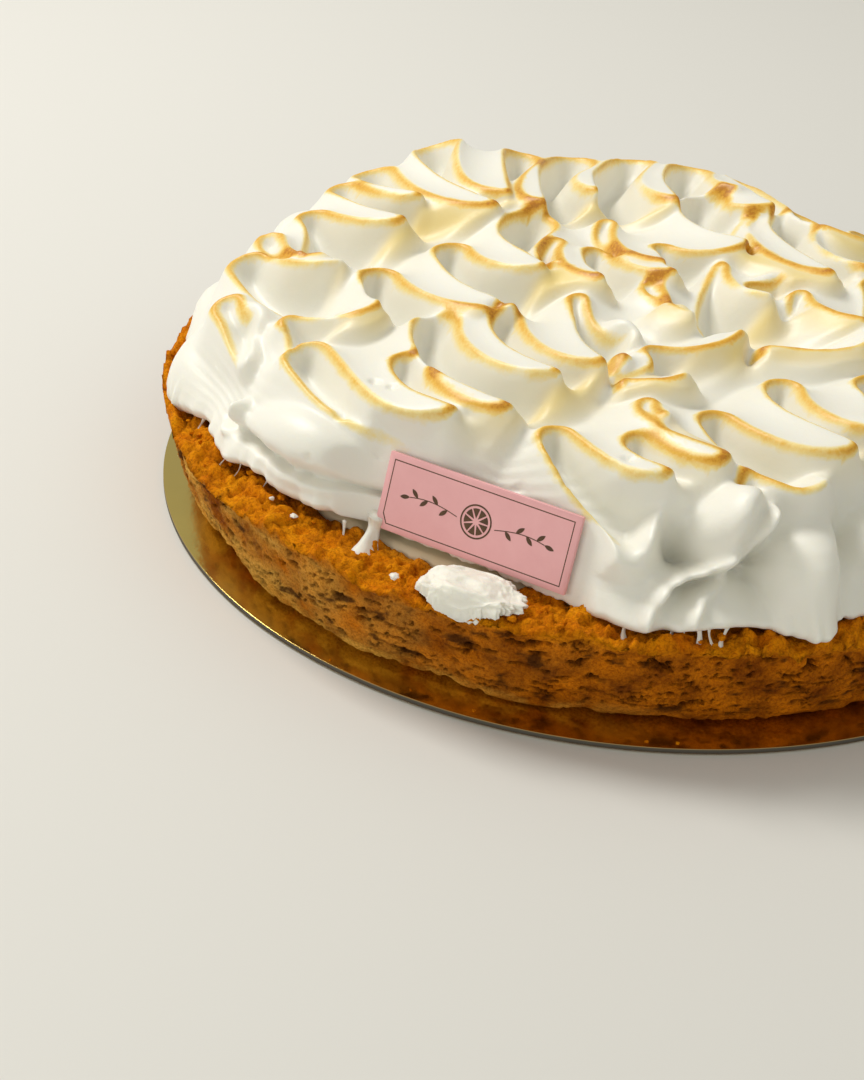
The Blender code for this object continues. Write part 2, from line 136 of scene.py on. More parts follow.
# ---------------------------------------------------------------- the cake card
# A thin disc of greyboard under the pie, faced with gold foil that mirrors the crust. The cut
# edge shows the grey board between the foil and a thin brown backing.

bpy.ops.object.select_all(action="DESELECT")
bpy.ops.mesh.primitive_cylinder_add(
    vertices=360, radius=card_high.x - 0.0001, depth=card_high.z - card_low.z,
    location=(0.0, 0.0, (card_low.z + card_high.z) / 2))
card = bpy.context.object
card.name = "gold_card"
bpy.ops.object.transform_apply(location=True)
edge = card.modifiers.new("soft edge", "BEVEL")
edge.width = 0.00018
edge.segments = 2
edge.limit_method = "ANGLE"
bpy.ops.object.modifier_apply(modifier=edge.name)
bpy.ops.object.shade_smooth_by_angle(angle=radians(35))

fine_grain, takes, gives = shader_group(
    "fine_grain", (("Scale", "Float"), ("Strength", "Float"), ("Distance", "Float")), (("Normal", "Vector"),))
place = add_node(fine_grain, "ShaderNodeTexCoord")
grains = add_node(fine_grain, "ShaderNodeTexNoise", Detail=6.0, Roughness=0.68)
press = add_node(fine_grain, "ShaderNodeBump")
wire(fine_grain, (place.outputs["Object"], grains.inputs["Vector"]), (takes.outputs["Scale"], grains.inputs["Scale"]),
     (takes.outputs["Strength"], press.inputs["Strength"]), (takes.outputs["Distance"], press.inputs["Distance"]),
     (grains.outputs["Fac"], press.inputs["Height"]), (press.outputs["Normal"], gives.inputs["Normal"]))

gold_foil, foil = plain_material("gold_foil", (0.66, 0.51, 0.15), 0.12, 1.0)
place = add_node(gold_foil, "ShaderNodeTexCoord")
crinkle = add_node(gold_foil, "ShaderNodeGroup", node_tree=fine_grain, Scale=90.0, Strength=0.22, Distance=0.0006)
wire(gold_foil, (crinkle.outputs["Normal"], foil.inputs["Normal"]))
smudge = add_node(gold_foil, "ShaderNodeTexNoise", Scale=26.0, Detail=4.0, Roughness=0.55)
wear = add_node(gold_foil, "ShaderNodeMapRange")
wear.inputs["To Min"].default_value = 0.05
wear.inputs["To Max"].default_value = 0.24
wire(gold_foil, (place.outputs["Object"], smudge.inputs["Vector"]),
     (smudge.outputs["Fac"], wear.inputs["Value"]), (wear.outputs["Result"], foil.inputs["Roughness"]))

grey_board, board = plain_material("grey_board", (0.30, 0.28, 0.24), 0.85)
place = add_node(grey_board, "ShaderNodeTexCoord")
split = add_node(grey_board, "ShaderNodeSeparateXYZ")
level = add_node(grey_board, "ShaderNodeMath", operation="DIVIDE")
level.inputs[1].default_value = card_high.z
layers = add_node(grey_board, "ShaderNodeValToRGB")
layers.color_ramp.elements[0].color = (0.20, 0.10, 0.035, 1.0)
layers.color_ramp.elements[1].color = (0.40, 0.25, 0.08, 1.0)
for stop, colour in ((0.10, (0.14, 0.07, 0.03)), (0.20, (0.07, 0.06, 0.045)), (0.82, (0.11, 0.10, 0.08)),
                     (0.90, (0.42, 0.28, 0.10))):
    layers.color_ramp.elements.new(stop).color = (*colour, 1.0)
rough = add_node(grey_board, "ShaderNodeGroup", node_tree=fine_grain, Scale=900.0, Strength=0.5, Distance=0.0002)
wire(grey_board, (place.outputs["Object"], split.inputs["Vector"]), (split.outputs["Z"], level.inputs[0]),
     (level.outputs["Value"], layers.inputs["Fac"]), (layers.outputs["Color"], board.inputs["Base Color"]),
     (rough.outputs["Normal"], board.inputs["Normal"]))
card.data.materials.append(gold_foil)
card.data.materials.append(grey_board)
for face in card.data.polygons:
    if abs(face.normal.z) < 0.5:
        face.material_index = 1
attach(card, "root")
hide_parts("cake_card")


# ---------------------------------------------------------------- the crust
# A baked biscuit shell pressed into a flaring tin: a sandy wall with cracks, pits and burnt
# specks, an uneven foot that lifts off the card, and a rim broken into orange crumbs.

CRUST_HEIGHT = 28.0
CRUST_FOOT_RADIUS, CRUST_RIM_RADIUS = 121.5, 129.9
CRUST_INNER_RADIUS, CRUST_FLOOR = 113.2, 4.0
ROUND_STEPS = 1230
# The first heading below is the middle of a broad paler band on the left of the shell: painted light where the light
# from the left falls. The second is a patch of pale, less baked dough at the foot.
LIT_LEFT_SIDE, PALE_FOOT = radians(205), radians(218)


def wave(angle, seed, turns):
    """A smooth round ripple between about -1 and 1, made of a few sine waves a turn."""
    chance = np.random.default_rng(seed)
    phases = chance.uniform(0, 2 * pi, len(turns))
    return sum(np.sin(n * angle + p) for n, p in zip(turns, phases)) / len(turns) ** 0.5 / 1.4


def grain(points, size, depth=3, seed=0.0):
    """Cloudy noise about 0 at each point; size is its grain in the points' own unit."""
    shift = Vector((seed, 2.3 * seed, 5.1 * seed))
    return np.array([noise.fractal(Vector(p) / size + shift, 0.9, 2.1, depth) for p in points])


def blobs(points, size, seed=0.0):
    """Rounded cells: 1 in the middle of a crumb, 0 in the crease between two."""
    shift = Vector((seed, 1.7 * seed, 3.1 * seed))
    found = []
    for p in points:
        near = noise.voronoi(Vector(p) / size + shift)[0]
        found.append(min(1.0, (near[1] - near[0]) * 1.6))
    return np.array(found)


def ring_mesh(name, rings, closed_rows=False):
    """A mesh over rings of points of shape (rings, steps, 3), in millimetres, capped at both ends."""
    rows, count = rings.shape[:2]
    points = rings.reshape(-1, 3)
    at = np.arange(rows * count).reshape(rows, count)
    after = np.roll(at, -1, axis=1)
    quads = np.stack([at[:-1], after[:-1], after[1:], at[1:]], -1).reshape(-1, 4)
    first, last = points[:count].mean(0), points[-count:].mean(0)
    points = np.concatenate([points, [first, last]])
    caps = [(len(points) - 2, int(after[0, k]), int(at[0, k])) for k in range(count)]
    caps += [(int(at[-1, k]), int(after[-1, k]), len(points) - 1) for k in range(count)]
    mesh = bpy.data.meshes.new(name)
    mesh.from_pydata((points * MM).tolist(), [], quads.tolist() + caps)
    piece = bpy.data.objects.new(name, mesh)
    bpy.context.scene.collection.objects.link(piece)
    mesh.shade_smooth()
    return piece


def store(piece, name, values):
    """Keeps one number a point on a piece, for its material."""
    layer = piece.data.attributes.new(name, "FLOAT", "POINT")
    full = np.zeros(len(piece.data.vertices), np.float32)
    full[:len(values)] = values
    layer.data.foreach_set("value", full)


angles = np.arange(ROUND_STEPS) * 2 * pi / ROUND_STEPS
foot_radius = CRUST_FOOT_RADIUS + 1.9 * wave(angles, 3, (5, 8, 13, 21))
foot_height = 2.6 + 2.0 * wave(angles, 4, (4, 9, 14, 19))
rim_radius = CRUST_RIM_RADIUS + 0.4 * wave(angles, 5, (6, 11, 17))
rim_height = CRUST_HEIGHT + 0.5 * wave(angles, 6, (9, 14, 23))
WALL_STEPS, RIM_STEPS = 44, 26

rings, walls, rims, feet = [], [], [], []


def crust_ring(radius, height, wall=0.0, rim=0.0, foot=0.0):
    radius, height = np.broadcast_to(radius, angles.shape), np.broadcast_to(height, angles.shape)
    rings.append(np.stack([radius * np.cos(angles), radius * np.sin(angles), height + CARD_TOP], -1))
    walls.append(wall)
    rims.append(rim)
    feet.append(foot)


crust_ring(foot_radius - 9, 0.3)
crust_ring(foot_radius - 4, 0.3)
crust_ring(foot_radius - 1.6, foot_height * 0.5 + 0.2, foot=0.6)
for k in range(WALL_STEPS + 1):
    share = k / WALL_STEPS
    bulge = 1.5 * sin(pi * min(1.0, share * 1.15)) ** 0.8
    crust_ring(foot_radius * (1 - share) + rim_radius * share + bulge,
               foot_height * (1 - share) + (rim_height - 1.0) * share,
               wall=min(1.0, 6 * share, 8 * (1 - share)), rim=max(0.0, 1 - 9 * (1 - share)),
               foot=max(0.0, 1 - 8 * share))
for k in range(1, RIM_STEPS + 1):
    share = k / RIM_STEPS
    crust_ring(rim_radius - 0.6 - (rim_radius - 0.6 - CRUST_INNER_RADIUS) * share,
               rim_height - 0.2 - 1.2 * share ** 3, rim=min(1.0, 1.2 - 0.6 * share ** 4))
for share in (0.12, 0.25, 0.4, 0.6, 1.0):
    crust_ring(CRUST_INNER_RADIUS, (CRUST_HEIGHT - 1.6) * (1 - share) + CRUST_FLOOR * share,
               rim=max(0.0, 0.6 - 4 * share))
crust_ring(CRUST_INNER_RADIUS - 12, CRUST_FLOOR)
rings = np.stack(rings)
wall_share, rim_share, foot_share = (np.array(shares)[:, None] for shares in (walls, rims, feet))

flat = rings.reshape(-1, 3)
outward = np.stack([np.cos(angles), np.sin(angles), 0 * angles], -1)[None]
upward = np.array([0.0, 0.0, 1.0])
rolled = flat * (1.0, 1.0, 7.5)
lumps = grain(flat, 14.0, 3, 1.0).reshape(rings.shape[:2])
sand = grain(flat, 1.6, 3, 2.0).reshape(rings.shape[:2])
cracks = grain(rolled, 12.0, 4, 3.0).reshape(rings.shape[:2])
holes = grain(flat * (1.0, 1.0, 3.0), 4.2, 3, 4.0).reshape(rings.shape[:2])
broken = grain(flat, 5.5, 4, 9.0).reshape(rings.shape[:2])
crumb = blobs(flat + 1.6 * np.stack([sand, broken, lumps], -1).reshape(-1, 3), 3.4, 5.0).reshape(rings.shape[:2])

crack = np.clip(1 - np.abs(cracks - 0.10) / 0.04, 0, 1) * np.clip(lumps * 3 + 0.45, 0, 1)
pit = np.clip((holes - 0.41) / 0.16, 0, 1)
sunk_and_shade = wall_share * np.maximum(0.9 * crack, pit)
inward = 2.1 * sunk_and_shade - wall_share * (0.6 * lumps + 0.5 * sand + 0.35 * broken)
gap = np.clip((np.abs(broken) - 0.06) / 0.22, 0, 1)
raised = rim_share * (2.4 * broken + 0.6 * (crumb - 0.6) + 0.7 * sand + 2.0 * lumps + 1.0 * (gap - 0.8))
rings = rings - outward * (inward - 0.9 * rim_share * (broken + 0.4 * (crumb - 0.5)) * (wall_share > 0))[..., None]
raised += foot_share * np.clip(1.7 * broken + 0.5 * sand, -0.25 * foot_height, 2.0)
rings = rings + upward * raised[..., None]

crust = ring_mesh("biscuit_crust", rings)
# Painted shade: the material darkens the wall's cracks and pits and the creases between the rim's crumbs, where shade
# falls in them.
between = rim_share * np.clip(0.6 * (0.40 - crumb) + 0.45 * (0.5 - gap), 0, 1)
store(crust, "sunk_and_shade", np.clip(sunk_and_shade + between, 0, 1).ravel())
# A patch of pale, less baked dough at the foot on the left.
pale_side = np.clip(2.2 * np.cos(angles - PALE_FOOT) - 1.2, 0, 1)
pale_and_lit = np.clip(1.3 - wall_share * 1.2 - 3.0 * rim_share, 0, 1) * np.clip(lumps * 2.5 + 0.5, 0, 1) * pale_side
# Painted light: a broad paler band round the left of the shell, where the light from the left falls.
pale_and_lit = np.maximum(pale_and_lit, np.exp(-((angles - LIT_LEFT_SIDE) / 0.55) ** 2)[None] * np.clip(0.8 + 1.2 * lumps, 0, 1))
store(crust, "pale_and_lit", pale_and_lit.ravel())
store(crust, "rim", np.broadcast_to(rim_share, rings.shape[:2]).ravel())
burnt = np.clip((grain(flat * (1, 1, 1.8), 8.0, 4, 8.0).reshape(rings.shape[:2]) - 0.40) * 4.0, 0, 1)
store(crust, "burnt", (burnt * wall_share).ravel())

biscuit, biscuit_shader = plain_material("baked_biscuit", (0.4, 0.17, 0.03), 0.72)
place = add_node(biscuit, "ShaderNodeTexCoord")
is_rim = add_node(biscuit, "ShaderNodeAttribute", attribute_name="rim")
painted_shade_in = add_node(biscuit, "ShaderNodeAttribute", attribute_name="sunk_and_shade")
is_burnt = add_node(biscuit, "ShaderNodeAttribute", attribute_name="burnt")
cloud = add_node(biscuit, "ShaderNodeTexNoise", Scale=110.0, Detail=6.0, Roughness=0.6)
wall_colour = add_node(biscuit, "ShaderNodeValToRGB")
wall_colour.color_ramp.elements[0].position = 0.32
wall_colour.color_ramp.elements[0].color = (0.180, 0.036, 0.001, 1.0)
wall_colour.color_ramp.elements[1].position = 0.70
wall_colour.color_ramp.elements[1].color = (0.83, 0.245, 0.004, 1.0)
rim_colour = add_node(biscuit, "ShaderNodeValToRGB")
rim_colour.color_ramp.elements[0].position = 0.28
rim_colour.color_ramp.elements[0].color = (0.70, 0.165, 0.001, 1.0)
rim_colour.color_ramp.elements[1].position = 0.7
rim_colour.color_ramp.elements[1].color = (1.0, 0.385, 0.004, 1.0)
# Paler colour: real pale dough at the foot, and painted light round the lit left side.
pale_and_lit_in = add_node(biscuit, "ShaderNodeAttribute", attribute_name="pale_and_lit")
to_pale_and_lit = add_node(biscuit, "ShaderNodeMix", data_type="RGBA")
to_pale_and_lit.inputs["B"].default_value = (1.0, 0.56, 0.105, 1.0)
pale_and_lit_amount = add_node(biscuit, "ShaderNodeMath", operation="MULTIPLY")
pale_and_lit_amount.inputs[1].default_value = 0.95
to_rim = add_node(biscuit, "ShaderNodeMix", data_type="RGBA")
to_burnt = add_node(biscuit, "ShaderNodeMix", data_type="RGBA")
to_burnt.inputs["B"].default_value = (0.050, 0.014, 0.003, 1.0)
# Painted shade: a dark brown laid into the cracks, pits and crumb creases.
to_painted_shade = add_node(biscuit, "ShaderNodeMix", data_type="RGBA")
to_painted_shade.inputs["B"].default_value = (0.060, 0.013, 0.001, 1.0)
burnt_amount = add_node(biscuit, "ShaderNodeMath", operation="MULTIPLY")
burnt_amount.inputs[1].default_value = 0.85
painted_shade_amount = add_node(biscuit, "ShaderNodeMath", operation="MULTIPLY")
painted_shade_amount.inputs[1].default_value = 0.85
wire(biscuit, (place.outputs["Object"], cloud.inputs["Vector"]),
     (cloud.outputs["Fac"], wall_colour.inputs["Fac"]), (cloud.outputs["Fac"], rim_colour.inputs["Fac"]),
     (pale_and_lit_in.outputs["Fac"], pale_and_lit_amount.inputs[0]), (pale_and_lit_amount.outputs["Value"], to_pale_and_lit.inputs["Factor"]),
     (wall_colour.outputs["Color"], to_pale_and_lit.inputs["A"]),
     (is_rim.outputs["Fac"], to_rim.inputs["Factor"]), (to_pale_and_lit.outputs["Result"], to_rim.inputs["A"]),
     (rim_colour.outputs["Color"], to_rim.inputs["B"]), (is_burnt.outputs["Fac"], burnt_amount.inputs[0]),
     (burnt_amount.outputs["Value"], to_burnt.inputs["Factor"]), (to_rim.outputs["Result"], to_burnt.inputs["A"]),
     (painted_shade_in.outputs["Fac"], painted_shade_amount.inputs[0]), (painted_shade_amount.outputs["Value"], to_painted_shade.inputs["Factor"]),
     (to_burnt.outputs["Result"], to_painted_shade.inputs["A"]))
gritty = add_node(biscuit, "ShaderNodeGroup", node_tree=fine_grain, Scale=900.0, Strength=1.0, Distance=0.0011)
grit = add_node(biscuit, "ShaderNodeTexNoise", Scale=1300.0, Detail=3.0, Roughness=0.75)
grit_shade = add_node(biscuit, "ShaderNodeValToRGB")
grit_shade.color_ramp.elements[0].position = 0.36
grit_shade.color_ramp.elements[0].color = (0.50, 0.36, 0.20, 1.0)
grit_shade.color_ramp.elements[1].position = 0.56
sanded = add_node(biscuit, "ShaderNodeMix", data_type="RGBA", blend_type="MULTIPLY")
sanded.inputs["Factor"].default_value = 0.7
wire(biscuit, (gritty.outputs["Normal"], biscuit_shader.inputs["Normal"]),
     (place.outputs["Object"], grit.inputs["Vector"]), (grit.outputs["Fac"], grit_shade.inputs["Fac"]),
     (to_painted_shade.outputs["Result"], sanded.inputs["A"]), (grit_shade.outputs["Color"], sanded.inputs["B"]),
     (sanded.outputs["Result"], biscuit_shader.inputs["Base Color"]))
biscuit_shader.inputs["Specular IOR Level"].default_value = 0.05
crust.data.materials.append(biscuit)
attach(crust, "root")
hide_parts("crust")


# ---------------------------------------------------------------- the filling
# Set lemon cream, poured into the shell and smooth on top. It shows as a pale band wherever the
# meringue's foot stands clear of the rim.

filling_low, filling_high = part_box("filling")
FILLING_EDGE = 2.2
bpy.ops.object.select_all(action="DESELECT")
bpy.ops.mesh.primitive_cylinder_add(
    vertices=256, radius=filling_high.x, depth=filling_high.z - filling_low.z,
    location=(0.0, 0.0, (filling_low.z + filling_high.z) / 2))
filling = bpy.context.object
filling.name = "lemon_filling"
bpy.ops.object.transform_apply(location=True)
edge = filling.modifiers.new("rounded edge", "BEVEL")
edge.width = FILLING_EDGE * MM
edge.segments = 5
edge.limit_method = "ANGLE"
bpy.ops.object.modifier_apply(modifier=edge.name)
bpy.ops.object.shade_smooth_by_angle(angle=radians(40))
lemon, lemon_shader = plain_material("lemon_cream", (0.86, 0.77, 0.56), 0.35)
place = add_node(lemon, "ShaderNodeTexCoord")
swirl = add_node(lemon, "ShaderNodeTexNoise", Scale=60.0, Detail=3.0)
cream = add_node(lemon, "ShaderNodeValToRGB")
cream.color_ramp.elements[0].color = (0.80, 0.66, 0.38, 1.0)
cream.color_ramp.elements[1].color = (0.90, 0.83, 0.66, 1.0)
wire(lemon, (place.outputs["Object"], swirl.inputs["Vector"]), (swirl.outputs["Fac"], cream.inputs["Fac"]),
     (cream.outputs["Color"], lemon_shader.inputs["Base Color"]))
filling.data.materials.append(lemon)
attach(filling, "root")
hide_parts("filling")


# ---------------------------------------------------------------- the meringue
# Soft whipped egg white, heaped on the filling and dragged with a spatula into rows of hairpin
# marks, then torched, so that every thin crest is golden and the points are browned.

MOUND_FOOT, MOUND_RISE, FOOT_ROLL = 30.4, 23.5, 1.9
BASE_RADIUS = 120.0
FOLD_HEIGHT, FOLD_SINK = 19.0, 9.5
TALL_LOBE = (-52, 85)
FOOT_RADII = (
    (-180, 124), (-172, 125), (-166, 127.5), (-161, 124), (-156, 121.5), (-149, 123.5), (-143, 120),
    (-135, 119), (-129, 117.5), (-122, 114), (-112, 113.5), (-104, 117), (-101, 119), (-97, 123.5),
    (-92, 126.5), (-86, 128), (-80, 125), (-74.5, 129.5), (-68, 123), (-60, 121), (-48, 125),
    (-36, 120), (-22, 126), (-8, 121), (6, 124), (22, 119), (38, 125), (55, 120), (72, 124),
    (90, 119.5), (108, 124), (126, 120), (144, 124.5), (160, 121), (171, 124),
)
FOOT_RISES = (
    (-180, 0.0), (-166, 0.2), (-160, 2.6), (-156, 2.8), (-151, 0.2), (-147, 2.4), (-143, 3.2),
    (-139, 1.0), (-134, 2.8), (-128, 3.4), (-122, 2.0), (-100, 0.4), (-91, 0.2), (-87, 2.2),
    (-83, 2.4), (-79, 0.4), (-60, 0.2), (-30, 1.6), (0, 0.2), (35, 1.8), (60, 0.2), (100, 1.5),
    (130, 0.2), (160, 1.2),
)
SPATULA_ROWS = (
    ((-102, -50), (-106, -21.5, -98.5, -32, 6, 15, 0.6)),
    ((-57, -94), (-86.5, -50.5, -49, -87.5, 9.5, 24), (-61.5, -57.5, -36, -86.5, 8, 35),
     (-54.5, -33, -24.5, -69.5, 11.5, 43), (-37.5, -29.5, -14, -62, 8, 35),
     (-18.8, -15.8, -5, -36, 5, 28, 0.5)),
    ((-81, -37), (-105, 3.5, -81, -10, 10, 42)),
    ((-88, -51), (-92.5, -38, -70, -35.5, 5, 40), (-72, -7.5, -35.5, -32, 10, 42),
     (-53, 13, -28, -6.5, 10, 42), (-27.2, 38, -25.5, 2, 15)),
    ((-26, 0), (-22.5, 20.5, -12, -11, 4, 40), (-12.5, 17, 7.5, -3.5, 8, 42), (4.5, 22, 29.5, 21.5, 6, 60),
     (24, 66, 40, 52, 13, 72), (34, 98, 68, 42, 8, 20)),
    ((-4, 9), (-8, 38, 5, 3, 5, 35)),
    ((-90, -5), (-100.5, 16, -86.5, -5, 6)),
    ((-88, -4), (-93, 32, -66, 20.5, 8, 35), (-85, 55, -62, 38.5, 8, 32), (-76, 70, -41, 35.5, 11, 38),
     (-55, 92, -38, 44, 12, 35), (-31.5, 92, -27.5, 38, 10, 12), (-14, 100, -12, 50, 13, 20),
     (5, 104, 11, 48, 13), (21, 98, 30, 64, 13)),
    ((20, -31), (0.5, -4.5, 11, -27, 5, 10)),
    ((17, -28.5), (22, 12, 32, -14, 3.5, 35)),
    ((38, -2), (27, -6, 37, 5, 8, 20, 0.7)),
    ((40, -12), (41.5, -3, 56, -24, 5, 40)),
    ((30, 19), (34, 50, 50.5, 2.5, 3, 46), (51.5, 62, 61, 10.5, 13, 35)),
    ((60, -16), (62, 8, 80, -8, 9), (80, 30, 96, -2, 12)),
    ((-10, -64), (-2.5, -45, 21, -36.5, 6, 50)),
    ((-10, -68), (-9.5, -64, 5.5, -63, 3, 38)),
    ((-12, -60), (-8, -50, -9, -58, 3, 20, 0.6)),
    ((26, -43), (27, -41, 56, -32, 3, 35), (57, -18, 76, -28, 9), (76, -6, 93, -20, 11)),
    ((-6, -118), (-27, -89, 0, -103.5, 8.5, 36), (-8, -89.5, 12, -98.5, 8, 38), (-3, -73.5, 0, -85, 4.5)),
    ((28, -100), (10.5, -77.5, 42, -90.5, 9, 42), (31, -57.5, 48, -84, 9, 40), (52, -52, 72, -70, 11),
     (70, -46, 92, -56, 12)),
    ((14, -104), (16, -99, 33, -99.5, 3, 35)),
    ((68, 42), (72, 70, 92, 34, 12), (94, 48, 106, 10, 12)),
)
SWING = 28
START_LIFT, TOP_LIFT, TIP_LIFT = 0.45, 0.88, 1.12
RELIEF_STEP = 0.6
SCOOP_REACH, NOSE_REACH, SHELF_REACH = 3.2, 4.6, 15.0
NOSE_BULGE = 2.3
LEAN, LEAN_HEADING = 4.0, radians(-32)
PIT_COUNT = 46
MOUND_STEPS = 540
KEPT_SHARE = 0.33

# Pillows of meringue on the wall: middle x, y, half length, half width, heading and height.
PILLOWS = (
    (-86, -80, 30, 15, -44, 0.85), (-121, -28, 22, 14, -100, 0.55), (-122, 12, 18, 12, 80, 0.45),
    (-9, -112, 15, 16, -80, 0.95), (15, -108, 17, 9, 62, 1.20), (35, -114, 15, 19, -10, 0.80),
    (56, -104, 13, 18, -65, 0.75), (117, -25, 18, 13, 78, 0.60), (111, 45, 20, 13, 112, 0.62),
    (74, 94, 22, 14, 142, 0.55), (10, 119, 19, 13, 175, 0.62), (-51, 108, 23, 14, 205, 0.55),
    (-101, 63, 20, 13, 238, 0.58),
)
# Thin folds and creases on the wall: height in relief, half width in millimetres, route.
FOLDS = (
    (-0.22, 1.5, ((-110, -57), (-103, -71), (-93, -84), (-79, -95), (-70, -101))),
    (0.24, 1.2, ((23, -107), (21.5, -111), (20, -115), (14, -119), (4, -122.5), (-2, -128), (-5, -132))),
    (-0.22, 1.6, ((23, -114), (16, -120), (6, -125), (1, -129))),
    (0.20, 1.1, ((21, -116), (15, -121.5), (10, -125), (7, -129), (6, -132))),
    (-0.26, 2.4, ((3, -112), (6, -116), (12, -117))),
    (-0.20, 2.6, ((23, -119), (22, -123), (24, -126))),
    (0.16, 1.6, ((-100, -60), (-106, -63), (-112, -60))),
    (-0.20, 2.2, ((44, -104), (43, -112), (43, -120), (42, -130))),
    (-0.16, 1.8, ((86, 66), (97, 71), (108, 80))), (0.14, 1.3, ((99, 58), (109, 66), (116, 76))),
    (-0.16, 1.9, ((-16, 108), (-24, 117), (-22, 130))), (0.14, 1.4, ((-12, 116), (-16, 124), (-13, 132))),
    (-0.16, 1.8, ((-104, 26), (-116, 33), (-127, 34))),
)


def turn(v, degrees):
    c, s = cos(radians(degrees)), sin(radians(degrees))
    return np.array([c * v[0] - s * v[1], s * v[0] + c * v[1]])


def unit(v):
    return v / np.linalg.norm(v)


def sweep(start, end, leave, arrive):
    """A curve from start to end as points, leaving and arriving along the two directions."""
    reach = np.linalg.norm(end - start)
    t = np.linspace(0, 1, max(8, int(reach / 0.25)))[:, None]
    near, far = start + 0.42 * reach * leave, end - 0.36 * reach * arrive
    return (1 - t) ** 3 * start + 3 * (1 - t) ** 2 * t * near + 3 * (1 - t) * t * t * far + t ** 3 * end


def spatula_mark(foot, top, tip, width, swing, end_lift, first_lift=1.0):
    """The crest round one mark: up its near side, over its round top and down to its point."""
    down = turn(unit(tip - top), -swing)
    across = turn(down, 90)
    centre = top + width / 2 * down
    bend = np.linspace(pi, 0, 40)[:, None]
    arc = centre + width / 2 * (across * np.cos(bend) - down * np.sin(bend))
    near = sweep(arc[0], foot, down, turn(unit(foot - top), 0.8 * swing))[::-1]
    far = sweep(arc[-1], tip, down, turn(unit(tip - top), 62))
    lift = np.concatenate([
        np.linspace(first_lift, TOP_LIFT, len(near)),
        np.full(len(arc), TOP_LIFT),
        np.linspace(TOP_LIFT, end_lift, len(far)),
    ])
    return np.concatenate([near, arc, far]), lift


def marks():
    for row in SPATULA_ROWS:
        foot, first_lift = np.array(row[0], float), START_LIFT
        for top_x, top_y, tip_x, tip_y, width, *rest in row[1:]:
            tip = np.array([tip_x, tip_y], float)
            swing, end_lift = rest + [SWING, TIP_LIFT][len(rest):]
            yield foot, np.array([top_x, top_y], float), tip, width, swing, end_lift, first_lift
            foot, first_lift = tip, end_lift


def through(points):
    """A smooth route through a few points."""
    p = np.array(points, float)
    p = np.concatenate([[2 * p[0] - p[1]], p, [2 * p[-1] - p[-2]]])
    t = np.linspace(0, 1, 40, endpoint=False)[:, None]
    legs = [0.5 * (2 * b + (c - a) * t + (2 * a - 5 * b + 4 * c - d) * t ** 2 + (3 * b - a - 3 * c + d) * t ** 3)
            for a, b, c, d in zip(p, p[1:], p[2:], p[3:])]
    return np.concatenate(legs)


def covers(outline, x, y):
    """Which grid places lie inside a closed outline."""
    found = np.zeros(x.shape, bool)
    low, high = outline.min(0), outline.max(0)
    columns = slice(*np.searchsorted(x[0], (low[0], high[0])))
    rows = slice(*np.searchsorted(y[:, 0], (low[1], high[1])))
    x, y = x[rows, columns], y[rows, columns]
    part = np.zeros(x.shape, bool)
    for (ax, ay), (bx, by) in zip(outline, np.roll(outline, -1, 0)):
        if ay != by:
            part ^= ((ay > y) != (by > y)) & (x < (bx - ax) * (y - ay) / (by - ay) + ax)
    found[rows, columns] = part
    return found


def blur(field, cells):
    """A field on the grid, softened over a number of cells."""
    reach = int(3 * cells) + 1
    weights = np.exp(-0.5 * (np.arange(-reach, reach + 1) / cells) ** 2)
    weights /= weights.sum()
    for axis in (0, 1):
        field = sum(w * np.roll(field, k, axis) for w, k in zip(weights, range(-reach, reach + 1)))
    return field


# The mound's bare outline, rolled out flat: distance from the middle, radius and height. Its foot
# rolls under.
tilt, under = np.linspace(0, pi / 2, 3000), np.linspace(0, radians(105), 60)[1:]
outline_radius = np.concatenate([BASE_RADIUS * np.sin(tilt) ** 0.2,
                                 BASE_RADIUS - FOOT_ROLL + FOOT_ROLL * np.cos(under)])
outline_height = np.concatenate([MOUND_FOOT + MOUND_RISE * np.cos(tilt),
                                 MOUND_FOOT - FOOT_ROLL * np.sin(under)])
outline_radius[0] = 0.0
travel = np.concatenate([[0], np.cumsum(np.hypot(np.diff(outline_radius), np.diff(outline_height)))])
REACH = travel[-1]
WALL_END = travel[len(tilt) - 1]

half = int(REACH / RELIEF_STEP) + 8
line = np.arange(-half, half + 1) * RELIEF_STEP
grid_x, grid_y = np.meshgrid(line, line)


def pin(field, points, values):
    """Raises a grid field to the given values at the cells under some points."""
    column, row = (np.round(points / RELIEF_STEP).astype(int) + half).T
    near = (column > 0) & (row > 0) & (column < 2 * half) & (row < 2 * half)
    np.maximum.at(field, (row[near], column[near]), np.broadcast_to(values, len(points))[near])


def trace(field, points, weights):
    """Adds a weight to a grid field at each point, shared out between the four cells round it."""
    place = points / RELIEF_STEP + half
    cell = np.clip(np.floor(place).astype(int), 0, 2 * half - 1)
    share = place - cell
    for across in (0, 1):
        for up in (0, 1):
            part = np.abs(1 - across - share[:, 0]) * np.abs(1 - up - share[:, 1])
            np.add.at(field, (cell[:, 1] + up, cell[:, 0] + across), weights * part)


def settle(pins, held, reach):
    """Stretches a sheet over the held cells: it sinks back to zero away from them."""
    field = pins.copy()
    shrink = 4 + (RELIEF_STEP / reach) ** 2
    odd = np.add.outer(np.arange(len(line)), np.arange(len(line))) % 2
    shares = [np.where(held | (odd == k), 0.0, 1.8) for k in (0, 1)]
    for _ in range(150):
        for share in shares:
            around = (np.roll(field, 1, 0) + np.roll(field, -1, 0)
                      + np.roll(field, 1, 1) + np.roll(field, -1, 1))
            field += share * (around / shrink - field)
    return field


def pillow(middle, length, width, along, rise):
    """A domed lump on the grid."""
    dx, dy = grid_x - middle[0], grid_y - middle[1]
    a, b = dx * along[0] + dy * along[1], dy * along[0] - dx * along[1]
    return rise * np.clip(1 - (a / length) ** 2 - (b / width) ** 2, 0, 1)


